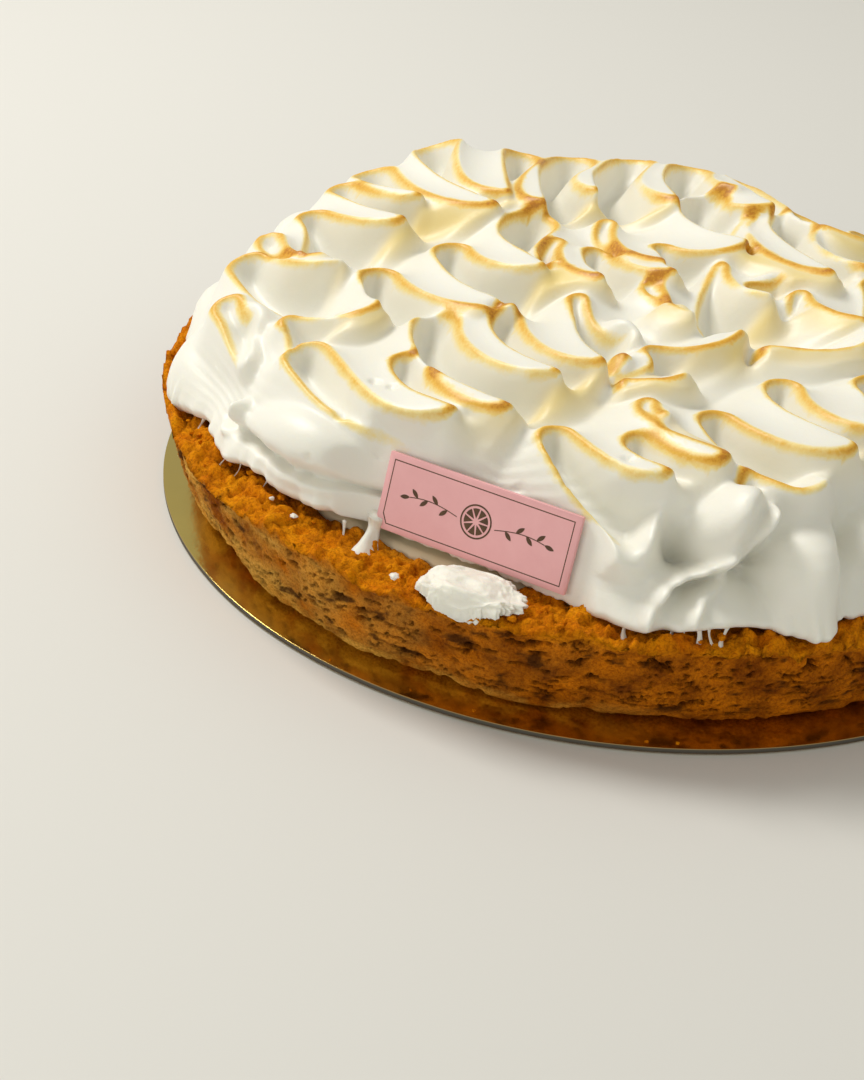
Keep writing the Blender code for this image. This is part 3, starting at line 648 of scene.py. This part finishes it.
pinned, points_of = np.zeros(grid_x.shape), np.zeros(grid_x.shape)
upper, lower = np.zeros(grid_x.shape), np.zeros(grid_x.shape)
lumps, crest_line = np.zeros(grid_x.shape), np.zeros(grid_x.shape)
hollow = np.zeros(grid_x.shape, bool)
for foot, top, tip, *shape in marks():
    crest, lift = spatula_mark(foot, top, tip, *shape)
    width = shape[0]
    fade = np.clip((WALL_END - 2 - np.hypot(*crest.T)) / 14, 0, 1)
    along = np.gradient(crest, axis=0)
    stride = np.maximum(np.hypot(*along.T), 1e-9)
    along /= stride[:, None]
    left = np.stack([-along[:, 1], along[:, 0]], -1)
    pin(pinned, crest, lift * fade)
    trace(crest_line, crest, stride / RELIEF_STEP * (fade > 0))
    pin(upper, crest + 1.3 * left, 1.0)
    pin(lower, crest - 1.3 * left, 1.0)
    tipness = np.clip((lift - 1.0) / (TIP_LIFT - 1.0), 0, 1) ** 1.5 * (np.arange(len(lift)) > len(lift) / 2)
    pin(points_of, crest, tipness * fade)
    hollow |= covers(crest[::4], grid_x, grid_y)
    flow = unit(tip - top)
    lumps = np.maximum(lumps, pillow(tip - (2 + 0.2 * width) * flow, 14 + 0.3 * width,
                                     6.5 + 0.5 * width, flow, 0.98))
for x, y, length, width, heading, rise in PILLOWS:
    lumps = np.maximum(lumps, pillow((x, y), length, width, turn((1, 0), heading), rise))

side = settle(upper - lower, (upper + lower) > 0, 20.0)
soft_hollow = blur(hollow, 2.0)
shelf = np.clip(0.5 + 2.0 * side, 0, 1) * (1 - blur(hollow, 1.5))
reach_here = np.where(hollow, SCOOP_REACH, NOSE_REACH) * (1 - shelf) + SHELF_REACH * shelf
height = settle(pinned, pinned > 0, blur(reach_here, 1.5))
bulged = 1 - (1 - np.clip(height, 0, 1)) ** NOSE_BULGE + np.clip(height - 1, 0, None)
nose = (1 - shelf) * (1 - blur(hollow, 2.5))
height = height + (bulged - height) * np.clip(nose, 0, 1)
lumps = blur(lumps, 2.4) * (1 - 0.85 * soft_hollow)
gap = height - lumps
height = blur(0.5 * (height + lumps + np.sqrt(gap ** 2 + 0.02)) - 0.05, 1.3)
for rise, width, route in FOLDS:
    stroke = np.zeros(grid_x.shape)
    pin(stroke, through(route), 1.0)
    cells = width / RELIEF_STEP
    height += 1.8 * rise * np.clip(blur(stroke, cells) * cells * (2 * pi) ** 0.5, 0, 1.2)
# Burst bubbles on the wall, and the faint rings that the spatula left as it went round it.
chance = np.random.default_rng(11)
pits = np.zeros(grid_x.shape)
for heading, far, size in zip(chance.uniform(-pi, pi, PIT_COUNT), chance.uniform(98, WALL_END - 4, PIT_COUNT),
                              chance.uniform(0.9, 1.7, PIT_COUNT)):
    spot = (far * cos(heading), far * sin(heading))
    pits = np.maximum(pits, pillow(spot, 1.5 * size, size, turn((1, 0), degrees(heading) + 90), 0.045 * size))
grid_far, grid_heading = np.hypot(grid_x, grid_y), np.arctan2(grid_y, grid_x)
rings_left = np.sin(2.3 * grid_far + 4 * wave(grid_heading, 21, (3, 5, 7)))
rings_left *= np.clip(wave(grid_heading, 22, (4, 7, 9)) + 0.3, 0, 1) * np.clip((grid_far - 96) / 10, 0, 1)
height += 0.012 * rings_left - pits


# How brown the torch left it: a narrow band along each crest, wider under the points, and a
# yellow blush on the face below and beside each point.
LINE_BLUR = 1.5
crest_height = blur(pinned, LINE_BLUR) / np.maximum(blur((pinned > 0).astype(float), LINE_BLUR), 1e-6)
near_line = blur(crest_line, LINE_BLUR) * LINE_BLUR * (2 * pi) ** 0.5
away = LINE_BLUR * RELIEF_STEP * np.sqrt(-2 * np.log(np.clip(near_line, 1e-9, 1.0)))
below = FOLD_HEIGHT * np.maximum(crest_height - 0.06 - height, 0)
tip_near = blur(points_of, 3.0)
tip_near = np.clip(tip_near / 0.12, 0, 1)
below_side = np.clip(0.5 - 1.2 * side, 0, 1)
band = 0.45 + (0.29 + 0.75 * tip_near ** 2) * below_side
toasted = np.exp(-(away ** 2 + below ** 2) / band ** 2) * (near_line > 1e-3)
toasted = (1.48 + 0.12 * tip_near) * blur(toasted * np.clip(crest_height * 1.7 - 0.7, 0, 1), 0.75)
tip_glow = np.clip(np.roll(blur(points_of, 9.0), (-6, 4), (0, 1)) / 0.015, 0, 1)
line_glow = np.clip(blur((pinned > 0.6).astype(float), 7.0) / 0.056, 0, 1) ** 1.3
on_top = np.clip((106 - grid_far) / 14, 0, 1)
tip_glow = blur(np.maximum(tip_glow, 0.9 * line_glow) * on_top * below_side * (1 - soft_hollow), 1.5)


def on_grid(field, x, y):
    """A grid field's value between its cells."""
    fx, fy = (x - line[0]) / RELIEF_STEP, (y - line[0]) / RELIEF_STEP
    i = np.clip(fx.astype(int), 0, len(line) - 2)
    j = np.clip(fy.astype(int), 0, len(line) - 2)
    a, b = fx - i, fy - j
    return ((field[j, i] * (1 - a) + field[j, i + 1] * a) * (1 - b)
            + (field[j + 1, i] * (1 - a) + field[j + 1, i + 1] * a) * b)


def round_the_foot(pairs, heading):
    """A value round the mound's foot, flowing between the stated headings."""
    keys = np.radians([angle for angle, _ in pairs])
    turns = np.radians(np.arange(-180, 180, 0.25))
    values = np.interp(turns, keys, [value for _, value in pairs], period=2 * pi)
    values = sum(np.roll(values, k) for k in range(-6, 7)) / 13
    return np.interp(heading, turns, values, period=2 * pi)


def tears(heading):
    """The small tears in the mound's foot: broad ones all round, fine ones in places."""
    fine = np.clip(wave(heading, 33, (7, 11)) + 0.2, 0, 1) * wave(heading, 34, (211, 257, 293))
    return wave(heading, 31, (37, 53, 71)) + 0.6 * wave(heading, 32, (97, 131, 163)) + fine


def ease(share):
    share = np.clip(share, 0, 1)
    return share * share * (3 - 2 * share)


def on_mound(x, y, lift):
    """Where a rolled-out point lies on the real mound, raised by a lift in relief."""
    far, heading = np.hypot(x, y), np.arctan2(y, x)
    settled = np.clip((WALL_END - far) / 14, 0, 1)
    tall = 1 + 0.5 * np.exp(-((x - TALL_LOBE[0]) ** 2 + (y - TALL_LOBE[1]) ** 2) / 20 ** 2)
    raised = FOLD_HEIGHT * lift * tall * (0.35 + 0.65 * settled) - FOLD_SINK * settled
    run = np.interp(far + 0.8, travel, outline_radius) - np.interp(far - 0.8, travel, outline_radius)
    drop = np.interp(far + 0.8, travel, outline_height) - np.interp(far - 0.8, travel, outline_height)
    slope = np.hypot(run, drop)
    low_down = np.clip((far - 0.55 * WALL_END) / (0.45 * WALL_END), 0, 1)
    spread = 1 + (round_the_foot(FOOT_RADII, heading) / BASE_RADIUS - 1) * low_down ** 1.5
    near_foot = np.clip((far - WALL_END + 14) / 14, 0, 1)
    spread += 0.7 * tears(heading) / BASE_RADIUS * near_foot ** 3
    out = np.interp(far, travel, outline_radius) * spread - drop / slope * raised
    up = np.interp(far, travel, outline_height) + run / slope * raised
    slump = 14 * ease((0.85 * (x - 25) + 0.5 * (y - 50)) / 75) + 3 * ease((y - 60) / 30) * ease((30 - x) / 40)
    up -= slump * np.clip((up - MOUND_FOOT) / MOUND_RISE, 0, 1)
    up += round_the_foot(FOOT_RISES, heading) * near_foot ** 2
    lean = LEAN * (np.clip(lift, 0, 1.15) ** 2 - 1) * settled
    return np.stack([
        out * np.cos(heading) + lean * cos(LEAN_HEADING),
        out * np.sin(heading) + lean * sin(LEAN_HEADING),
        up + CARD_TOP,
    ], -1)


bpy.ops.object.select_all(action="DESELECT")
bpy.ops.mesh.primitive_grid_add(x_subdivisions=MOUND_STEPS, y_subdivisions=MOUND_STEPS, size=2.0)
meringue = bpy.context.object
meringue.name = "swirled_meringue"
unit_square = np.empty(len(meringue.data.vertices) * 3)
meringue.data.vertices.foreach_get("co", unit_square)
u, v, _ = unit_square.reshape(-1, 3).T
x, y = REACH * u * np.sqrt(1 - v * v / 2), REACH * v * np.sqrt(1 - u * u / 2)
places = on_mound(x, y, on_grid(height, x, y))

LABEL_WIDTH, LABEL_HEIGHT, LABEL_THICK = 51.0, 18.7, 1.4
LABEL_FOOT, LABEL_HEADING, LABEL_TILT = (-67.1, -92.0, 31.0), radians(-29.3), radians(18.8)
label_along = np.array([cos(LABEL_HEADING), sin(LABEL_HEADING), 0.0])
label_up = np.array([0, 0, cos(LABEL_TILT)]) + sin(LABEL_TILT) * np.array(
    [-sin(LABEL_HEADING), cos(LABEL_HEADING), 0.0])
label_out = np.cross(label_along, label_up)
label_corner = np.array(LABEL_FOOT) + (0, 0, CARD_TOP)


def press_back(points):
    """Moves meringue that would stand in or before the plaque to just behind its back."""
    offset = points - label_corner
    a, b, w = offset @ label_along, offset @ label_up, offset @ label_out
    beside = np.maximum(np.maximum(-a, a - LABEL_WIDTH), np.maximum(-b - 6.0, b - LABEL_HEIGHT))
    allowed = -(LABEL_THICK + 0.4) + 0.045 * np.clip(beside - 0.5, 0, None) ** 2
    pushed = w - allowed
    return points - (0.5 * (pushed + np.sqrt(pushed ** 2 + 1.0)))[:, None] * label_out


places = press_back(places)
meringue.data.vertices.foreach_set("co", (places * MM).ravel())
meringue.data.update()
settled = meringue.modifiers.new("soft peaks", "SMOOTH")
settled.factor = 0.5
settled.iterations = 3
bpy.ops.object.modifier_apply(modifier=settled.name)
bpy.ops.object.mode_set(mode="EDIT")
bpy.ops.mesh.select_all(action="DESELECT")
bpy.ops.mesh.select_non_manifold()
bpy.ops.mesh.extrude_edges_move()
bpy.ops.transform.resize(value=(0.93, 0.93, 1.0), center_override=(0.0, 0.0, 0.0))
bpy.ops.mesh.edge_face_add()
bpy.ops.object.mode_set(mode="OBJECT")
meringue.data.shade_smooth()
store(meringue, "toast", np.clip(on_grid(toasted, x, y), 0, 1))
store(meringue, "glow", np.clip(on_grid(tip_glow, x, y), 0, 1))
thin_out = meringue.modifiers.new("fewer faces where it is smooth", "DECIMATE")
thin_out.ratio = KEPT_SHARE
bpy.ops.object.modifier_apply(modifier=thin_out.name)

white, white_shader = plain_material("torched_meringue", (0.85, 0.835, 0.765), 0.42)
white_shader.inputs["Subsurface Weight"].default_value = 0.25
white_shader.inputs["Subsurface Radius"].default_value = (1.0, 0.85, 0.6)
white_shader.inputs["Subsurface Scale"].default_value = 0.003
place = add_node(white, "ShaderNodeTexCoord")
toast = add_node(white, "ShaderNodeAttribute", attribute_name="toast")
glow = add_node(white, "ShaderNodeAttribute", attribute_name="glow")
speck = add_node(white, "ShaderNodeTexNoise", Scale=1100.0, Detail=3.0, Roughness=0.6)
patch = add_node(white, "ShaderNodeTexNoise", Scale=30.0, Detail=2.0)
speckled = add_node(white, "ShaderNodeMath", operation="MULTIPLY_ADD")
speckled.inputs[1].default_value = 1.0
speckled.inputs[2].default_value = 0.5
patched = add_node(white, "ShaderNodeMath", operation="MULTIPLY_ADD")
patched.inputs[1].default_value = 0.5
patched.inputs[2].default_value = 0.72
browned = add_node(white, "ShaderNodeMath", operation="MULTIPLY")
browning = add_node(white, "ShaderNodeMath", operation="MULTIPLY")
toast_colour = add_node(white, "ShaderNodeValToRGB")
ramp = toast_colour.color_ramp
ramp.elements[0].position = 0.05
ramp.elements[0].color = (0.85, 0.835, 0.765, 1.0)
ramp.elements[1].position = 1.0
ramp.elements[1].color = (0.51, 0.205, 0.004, 1.0)
ramp.elements.new(0.2).color = (0.88, 0.73, 0.34, 1.0)
ramp.elements.new(0.5).color = (0.79, 0.485, 0.075, 1.0)
ramp.elements.new(0.8).color = (0.67, 0.34, 0.018, 1.0)
blush = add_node(white, "ShaderNodeMix", data_type="RGBA", blend_type="MULTIPLY")
blush.inputs["B"].default_value = (0.98, 0.80, 0.36, 1.0)
blushing = add_node(white, "ShaderNodeMath", operation="MULTIPLY")
wire(white, (place.outputs["Object"], speck.inputs["Vector"]), (place.outputs["Object"], patch.inputs["Vector"]),
     (speck.outputs["Fac"], speckled.inputs[0]), (patch.outputs["Fac"], patched.inputs[0]),
     (toast.outputs["Fac"], browned.inputs[0]), (speckled.outputs["Value"], browned.inputs[1]),
     (browned.outputs["Value"], browning.inputs[0]), (patched.outputs["Value"], browning.inputs[1]),
     (browning.outputs["Value"], toast_colour.inputs["Fac"]), (toast_colour.outputs["Color"], blush.inputs["A"]),
     (glow.outputs["Fac"], blushing.inputs[0]), (patched.outputs["Value"], blushing.inputs[1]),
     (blushing.outputs["Value"], blush.inputs["Factor"]), (blush.outputs["Result"], white_shader.inputs["Base Color"]))
satin = add_node(white, "ShaderNodeGroup", node_tree=fine_grain, Scale=420.0, Strength=0.22, Distance=0.0004)
wire(white, (satin.outputs["Normal"], white_shader.inputs["Normal"]))
meringue.data.materials.append(white)
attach(meringue, "root")
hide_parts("meringue")


# ---------------------------------------------------------------- the plaque
# A thin pink card plaque with its lower left corner cut off, leaning on the meringue. It has a fine
# dark line printed round it and a small lemon and leaves printed in the middle.

CUT_UP, CUT_ALONG = 2.9, 1.9
LINE_INSET, LINE_WIDE = 1.5, 0.27
LEMON_RADIUS, LEMON_PARTS = 4.1, 9
STEM_LONG, LEAF_LONG, LEAF_WIDE = 13.0, 2.6, 1.05
INK_PROUD = 0.03


def on_label(a, b, proud=0.0):
    """A point of the plaque's front, in millimetres along and up it."""
    return label_corner + a * label_along + b * label_up + proud * label_out


def plaque_outline(inset):
    """The plaque's front outline, moved inwards by an even margin."""
    slant = inset * 0.6
    return [(inset, CUT_UP + slant), (CUT_ALONG + slant, inset), (LABEL_WIDTH - inset, inset),
            (LABEL_WIDTH - inset, LABEL_HEIGHT - inset), (inset, LABEL_HEIGHT - inset)]


outlines = [plaque_outline(0.0), plaque_outline(LINE_INSET), plaque_outline(LINE_INSET + LINE_WIDE)]
count = len(outlines[0])
corners = [on_label(a, b) for outline in outlines for a, b in outline]
corners += [on_label(a, b, -LABEL_THICK) for a, b in outlines[0]]
faces, inks = [tuple(range(2 * count, 3 * count)), tuple(range(4 * count - 1, 3 * count - 1, -1))], [0, 0]
for k in range(count):
    after = (k + 1) % count
    faces += [(k, after, count + after, count + k), (count + k, count + after, 2 * count + after, 2 * count + k),
              (k, k + 3 * count, after + 3 * count, after)]
    inks += [0, 1, 0]
mesh = bpy.data.meshes.new("pink_plaque")
mesh.from_pydata([tuple(p * MM) for p in corners], [], faces)
mesh.polygons.foreach_set("material_index", inks)
label = bpy.data.objects.new("pink_plaque", mesh)
bpy.context.scene.collection.objects.link(label)
bpy.ops.object.select_all(action="DESELECT")
label.select_set(True)
bpy.context.view_layer.objects.active = label
edge = label.modifiers.new("soft edge", "BEVEL")
edge.width = 0.0002
edge.segments = 2
edge.limit_method = "ANGLE"
bpy.ops.object.modifier_apply(modifier=edge.name)
bpy.ops.object.shade_smooth_by_angle(angle=radians(30))

middle = (LABEL_WIDTH / 2, LABEL_HEIGHT / 2)
shapes = []


def arc(radius, start, end, steps, centre=middle):
    turns = np.linspace(start, end, steps)
    return [(centre[0] + radius * cos(t), centre[1] + radius * sin(t)) for t in turns]


def band(inner, outer):
    """The four-cornered faces between two open rows of points."""
    return [(a, b, c, d) for a, b, c, d in zip(inner, outer, outer[1:], inner[1:])]


shapes += band(arc(LEMON_RADIUS - 0.4, 0, 2 * pi, 65), arc(LEMON_RADIUS, 0, 2 * pi, 65))
for k in range(LEMON_PARTS):
    low, high = 2 * pi * (k + 0.07) / LEMON_PARTS, 2 * pi * (k + 0.93) / LEMON_PARTS
    turn_half = (low + high) / 2
    heart = (middle[0] + 0.75 * cos(turn_half), middle[1] + 0.75 * sin(turn_half))
    shapes.append((heart, *arc(LEMON_RADIUS - 0.95, low, high, 9)))
for way in (-1, 1):
    along_stem = np.linspace(0, 1, 25)
    stem = [(middle[0] + way * (LEMON_RADIUS + 0.9 + STEM_LONG * t), middle[1] + 1.2 * sin(2.6 * t) - 0.4)
            for t in along_stem]
    shapes += band([(a, b - 0.11) for a, b in stem], [(a, b + 0.11) for a, b in stem])
    for k, t in enumerate((0.22, 0.42, 0.62, 0.82, 1.0)):
        root = stem[round(24 * t)]
        lift = (1 if k % 2 else -1) * (0.75 if t < 1 else 0.2)
        heading = atan2(sin(lift), way * cos(lift))
        blade = [(0.0, 0.0)] + [(LEAF_LONG * u, LEAF_WIDE * sin(pi * u) ** 0.8 * 0.5) for u in np.linspace(0.1, 0.9, 7)]
        blade += [(LEAF_LONG, 0.0)] + [(a, -b) for a, b in blade[:0:-1]]
        shapes.append([(root[0] + a * cos(heading) - b * sin(heading), root[1] + a * sin(heading) + b * cos(heading))
                       for a, b in blade])

print_points, print_faces = [], []
for shape in shapes:
    area = sum(a[0] * b[1] - b[0] * a[1] for a, b in zip(shape, [*shape[1:], shape[0]]))
    ordered = shape if area > 0 else shape[::-1]
    print_faces.append(tuple(range(len(print_points), len(print_points) + len(ordered))))
    print_points += [tuple(on_label(a, b, INK_PROUD) * MM) for a, b in ordered]
mesh = bpy.data.meshes.new("plaque_print")
mesh.from_pydata(print_points, [], print_faces)
plaque_print = bpy.data.objects.new("plaque_print", mesh)
bpy.context.scene.collection.objects.link(plaque_print)

mottled, takes, gives = shader_group(
    "mottled", (("Scale", "Float"), ("Dark", "Color"), ("Light", "Color")), (("Color", "Color"),))
place = add_node(mottled, "ShaderNodeTexCoord")
cloud = add_node(mottled, "ShaderNodeTexNoise", Detail=4.0, Roughness=0.6)
blend = add_node(mottled, "ShaderNodeMix", data_type="RGBA")
wire(mottled, (place.outputs["Object"], cloud.inputs["Vector"]), (takes.outputs["Scale"], cloud.inputs["Scale"]),
     (cloud.outputs["Fac"], blend.inputs["Factor"]), (takes.outputs["Dark"], blend.inputs["A"]),
     (takes.outputs["Light"], blend.inputs["B"]), (blend.outputs["Result"], gives.inputs["Color"]))

pink, pink_shader = plain_material("pink_card", (0.73, 0.37, 0.39), 0.5)
face_tint = add_node(pink, "ShaderNodeGroup", node_tree=mottled, Scale=240.0,
                     Dark=(0.79, 0.38, 0.40, 1.0), Light=(0.87, 0.465, 0.48, 1.0))
paper = add_node(pink, "ShaderNodeGroup", node_tree=fine_grain, Scale=1400.0, Strength=0.12, Distance=0.0001)
wire(pink, (face_tint.outputs["Color"], pink_shader.inputs["Base Color"]),
     (paper.outputs["Normal"], pink_shader.inputs["Normal"]))
ink, ink_shader = plain_material("bronze_ink", (0.05, 0.02, 0.007), 0.4, 0.35)
ink_tint = add_node(ink, "ShaderNodeGroup", node_tree=mottled, Scale=500.0,
                    Dark=(0.030, 0.010, 0.004, 1.0), Light=(0.11, 0.05, 0.012, 1.0))
wire(ink, (ink_tint.outputs["Color"], ink_shader.inputs["Base Color"]))
label.data.materials.append(pink)
label.data.materials.append(ink)
plaque_print.data.materials.append(ink)
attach(label, "root")
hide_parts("label")
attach(plaque_print, "root")


# ---------------------------------------------------------------- the dab
# A spoonful of meringue that dropped on the rim under the plaque: a rough torn lump that sits in
# the crumbs and droops over the outer edge in one blunt tip.

DAB_HEADING, DAB_RADIUS = radians(-110.8), 123.8
DAB_HALF_WIDE, DAB_HALF_DEEP, DAB_THICK = 11.8, 7.4, 3.4
DAB_DROOP = 4.2
bpy.ops.object.select_all(action="DESELECT")
bpy.ops.mesh.primitive_ico_sphere_add(subdivisions=7, radius=1.0)
dab = bpy.context.object
dab.name = "fallen_dab"
ball = np.empty(len(dab.data.vertices) * 3)
dab.data.vertices.foreach_get("co", ball)
ball = ball.reshape(-1, 3)
across, outer, rise = ball.T
at_edge = np.clip(1.35 - 1.6 * np.abs(rise), 0, 1) ** 2
torn = 1 + 0.14 * grain(ball * (1, 1, 0.3), 0.75, 2, 3.0)
torn += (0.09 + 0.20 * np.clip(across, 0, 1)) * at_edge * grain(ball * (1, 1, 0.2), 0.2, 3, 4.0)
a = DAB_HALF_WIDE * np.sign(across) * np.abs(across) ** 0.8 * torn
b = DAB_HALF_DEEP * np.sign(outer) * np.abs(outer) ** 0.8 * torn
lump = 1 + 0.6 * grain(ball, 0.8, 1, 5.0) + 0.22 * grain(ball, 0.34, 2, 6.0)
c = np.where(rise > 0, DAB_THICK * np.abs(rise) ** 0.6 * lump, 1.2 * rise)
beyond = np.clip((b - 3.6) / 4.0, 0, None)
c = c - DAB_DROOP * beyond ** 1.5 * np.exp(-((across - 0.12) / 0.45) ** 2)
b = b - 0.8 * beyond
heading = DAB_HEADING + a / DAB_RADIUS
dab_places = np.stack([(DAB_RADIUS + b) * np.cos(heading), (DAB_RADIUS + b) * np.sin(heading),
                       CARD_TOP + CRUST_HEIGHT + 0.9 + c], -1)
sunken = (dab_places - label_corner) @ label_out
under = np.clip(((dab_places - label_corner) @ label_up + 1.5) / 1.5, 0, 1)
dab_places += (np.clip(0.5 - sunken, 0, None) * under)[:, None] * label_out
dab.data.vertices.foreach_set("co", (dab_places * MM).ravel())
dab.data.update()
dab.data.shade_smooth()
fresh, fresh_shader = plain_material("fresh_meringue", (0.88, 0.86, 0.78), 0.45)
fresh_shader.inputs["Subsurface Weight"].default_value = 0.25
fresh_shader.inputs["Subsurface Radius"].default_value = (1.0, 0.85, 0.6)
fresh_shader.inputs["Subsurface Scale"].default_value = 0.002
torn_skin = add_node(fresh, "ShaderNodeGroup", node_tree=fine_grain, Scale=520.0, Strength=0.5, Distance=0.0006)
fresh_tint = add_node(fresh, "ShaderNodeGroup", node_tree=mottled, Scale=90.0,
                      Dark=(0.84, 0.82, 0.735, 1.0), Light=(0.90, 0.88, 0.80, 1.0))
wire(fresh, (torn_skin.outputs["Normal"], fresh_shader.inputs["Normal"]),
     (fresh_tint.outputs["Color"], fresh_shader.inputs["Base Color"]))
dab.data.materials.append(fresh)
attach(dab, "root")
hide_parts("meringue_dab")


# ---------------------------------------------------------------- the strands
# Thin strands and one stout pillar of meringue that pulled out between the mound's foot and the
# rim where the foot was lifted away.

# Each strand: heading in degrees, radius where it leaves the foot, radius where it lands, thickness.
STRANDS = (
    (-126.0, 112.4, 119.4, 4.4), (-128.8, 117.6, 120.4, 0.7),
    (-158.8, 122.0, 124.6, 0.8), (-150.3, 121.8, 124.4, 0.45), (-147.5, 121.0, 123.8, 0.3), (-142.4, 119.2, 122.0, 0.5),
    (-93.8, 123.4, 125.4, 0.9), (-89.6, 125.0, 126.8, 1.2), (-88.4, 125.6, 127.0, 0.6), (-86.8, 125.8, 127.4, 1.5),
    (-85.2, 125.8, 127.2, 0.7), (-84.0, 125.4, 126.8, 1.0),
)
SIDES, LINKS = 12, 18
chance = np.random.default_rng(5)
points, faces = [], []
for degrees_round, leaves, lands, thick in STRANDS:
    t = np.linspace(0, 1, LINKS)
    heading = radians(degrees_round) + 0.006 * np.sin(3 * t + chance.uniform(0, 6))
    far = leaves + (lands - leaves) * t ** 1.6
    high = CARD_TOP + CRUST_HEIGHT + 3.0 + 0.6 * thick - (5.0 + 0.6 * thick) * t
    wide = thick * (0.34 + 1.4 * (t - 0.45) ** 2 + 1.8 * np.clip(t - 0.75, 0, 1)) * (1 + 0.1 * np.sin(11 * t))
    spine = np.stack([far * np.cos(heading), far * np.sin(heading), high], -1)
    base = len(points)
    for p, w in zip(spine, wide):
        for k in range(SIDES):
            swing = 2 * pi * k / SIDES
            out = w * (1 + 0.2 * cos(2 * swing + p[2]) + 0.1 * cos(3 * swing))
            points.append(p + out * np.array([cos(swing), sin(swing), 0.3 * sin(2 * swing)]))
    for j in range(LINKS - 1):
        for k in range(SIDES):
            low, after = base + j * SIDES, (k + 1) % SIDES
            faces.append((low + k, low + SIDES + k, low + SIDES + after, low + after))
    faces.append(tuple(base + k for k in range(SIDES)))
    faces.append(tuple(base + (LINKS - 1) * SIDES + k for k in reversed(range(SIDES))))
mesh = bpy.data.meshes.new("meringue_strands")
mesh.from_pydata([tuple(p * MM) for p in points], [], faces)
mesh.shade_smooth()
strands = bpy.data.objects.new("meringue_strands", mesh)
bpy.context.scene.collection.objects.link(strands)
strands.data.materials.append(fresh)
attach(strands, "root")


# ---------------------------------------------------------------- the crumbs and flecks
# Loose crumbs of biscuit that broke off the rim and lie on it and on the card, and small flecks of
# meringue that fell on the rim.


def bits(name, spots, material, stretch):
    """Small rough lumps of one kind, as one piece; a spot is x, y, z and size in millimetres."""
    chance = np.random.default_rng(len(spots))
    bpy.ops.object.select_all(action="DESELECT")
    bpy.ops.mesh.primitive_ico_sphere_add(subdivisions=3, radius=1.0)
    pattern = bpy.context.object
    ball = np.array([v.co for v in pattern.data.vertices])
    corners = [tuple(face.vertices) for face in pattern.data.polygons]
    bpy.data.objects.remove(pattern)
    points, faces = [], []
    for k, (x, y, z, size) in enumerate(spots):
        rough = 1 + 0.45 * grain(ball, 0.7, 3, 10.0 + k)
        shape = ball * rough[:, None] * size * chance.uniform(0.7, 1.2, 3) * (1, 1, stretch)
        heading = chance.uniform(0, 2 * pi)
        shape = shape @ np.array([[cos(heading), sin(heading), 0], [-sin(heading), cos(heading), 0], [0, 0, 1]])
        faces += [tuple(i + len(points) for i in corner) for corner in corners]
        points += [tuple((p + (x, y, z)) * MM) for p in shape]
    mesh = bpy.data.meshes.new(name)
    mesh.from_pydata(points, [], faces)
    mesh.shade_smooth()
    piece = bpy.data.objects.new(name, mesh)
    bpy.context.scene.collection.objects.link(piece)
    piece.data.materials.append(material)
    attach(piece, "root")
    return piece


RIM_CRUMBS, CARD_CRUMBS, FLECKS = 150, 26, 9
chance = np.random.default_rng(17)
spots = []
for k in range(RIM_CRUMBS):
    heading, far = chance.uniform(-pi, pi), chance.uniform(118, 128.4)
    spots.append((far * cos(heading), far * sin(heading), CARD_TOP + CRUST_HEIGHT + chance.uniform(-0.2, 0.8),
                  chance.uniform(0.45, 1.25)))
for k in range(CARD_CRUMBS):
    heading, size = chance.uniform(-pi, pi), chance.uniform(0.2, 0.5)
    far = chance.uniform(124.8, 128.8)
    spots.append((far * cos(heading), far * sin(heading), CARD_TOP + 0.5 * size, size))
crumbs = bits("crust_crumbs", spots, biscuit, 0.75)
store(crumbs, "rim", np.ones(len(crumbs.data.vertices)))
spots = []
for k in range(FLECKS):
    heading = radians(chance.choice((-163, -146, -137, -128, -118, -95, -86, -60, 20)) + chance.uniform(-3, 3))
    far = chance.uniform(121, 126.5)
    spots.append((far * cos(heading), far * sin(heading), CARD_TOP + CRUST_HEIGHT + 0.8, chance.uniform(0.4, 1.0)))
flecks = bits("meringue_flecks", spots, fresh, 0.6)
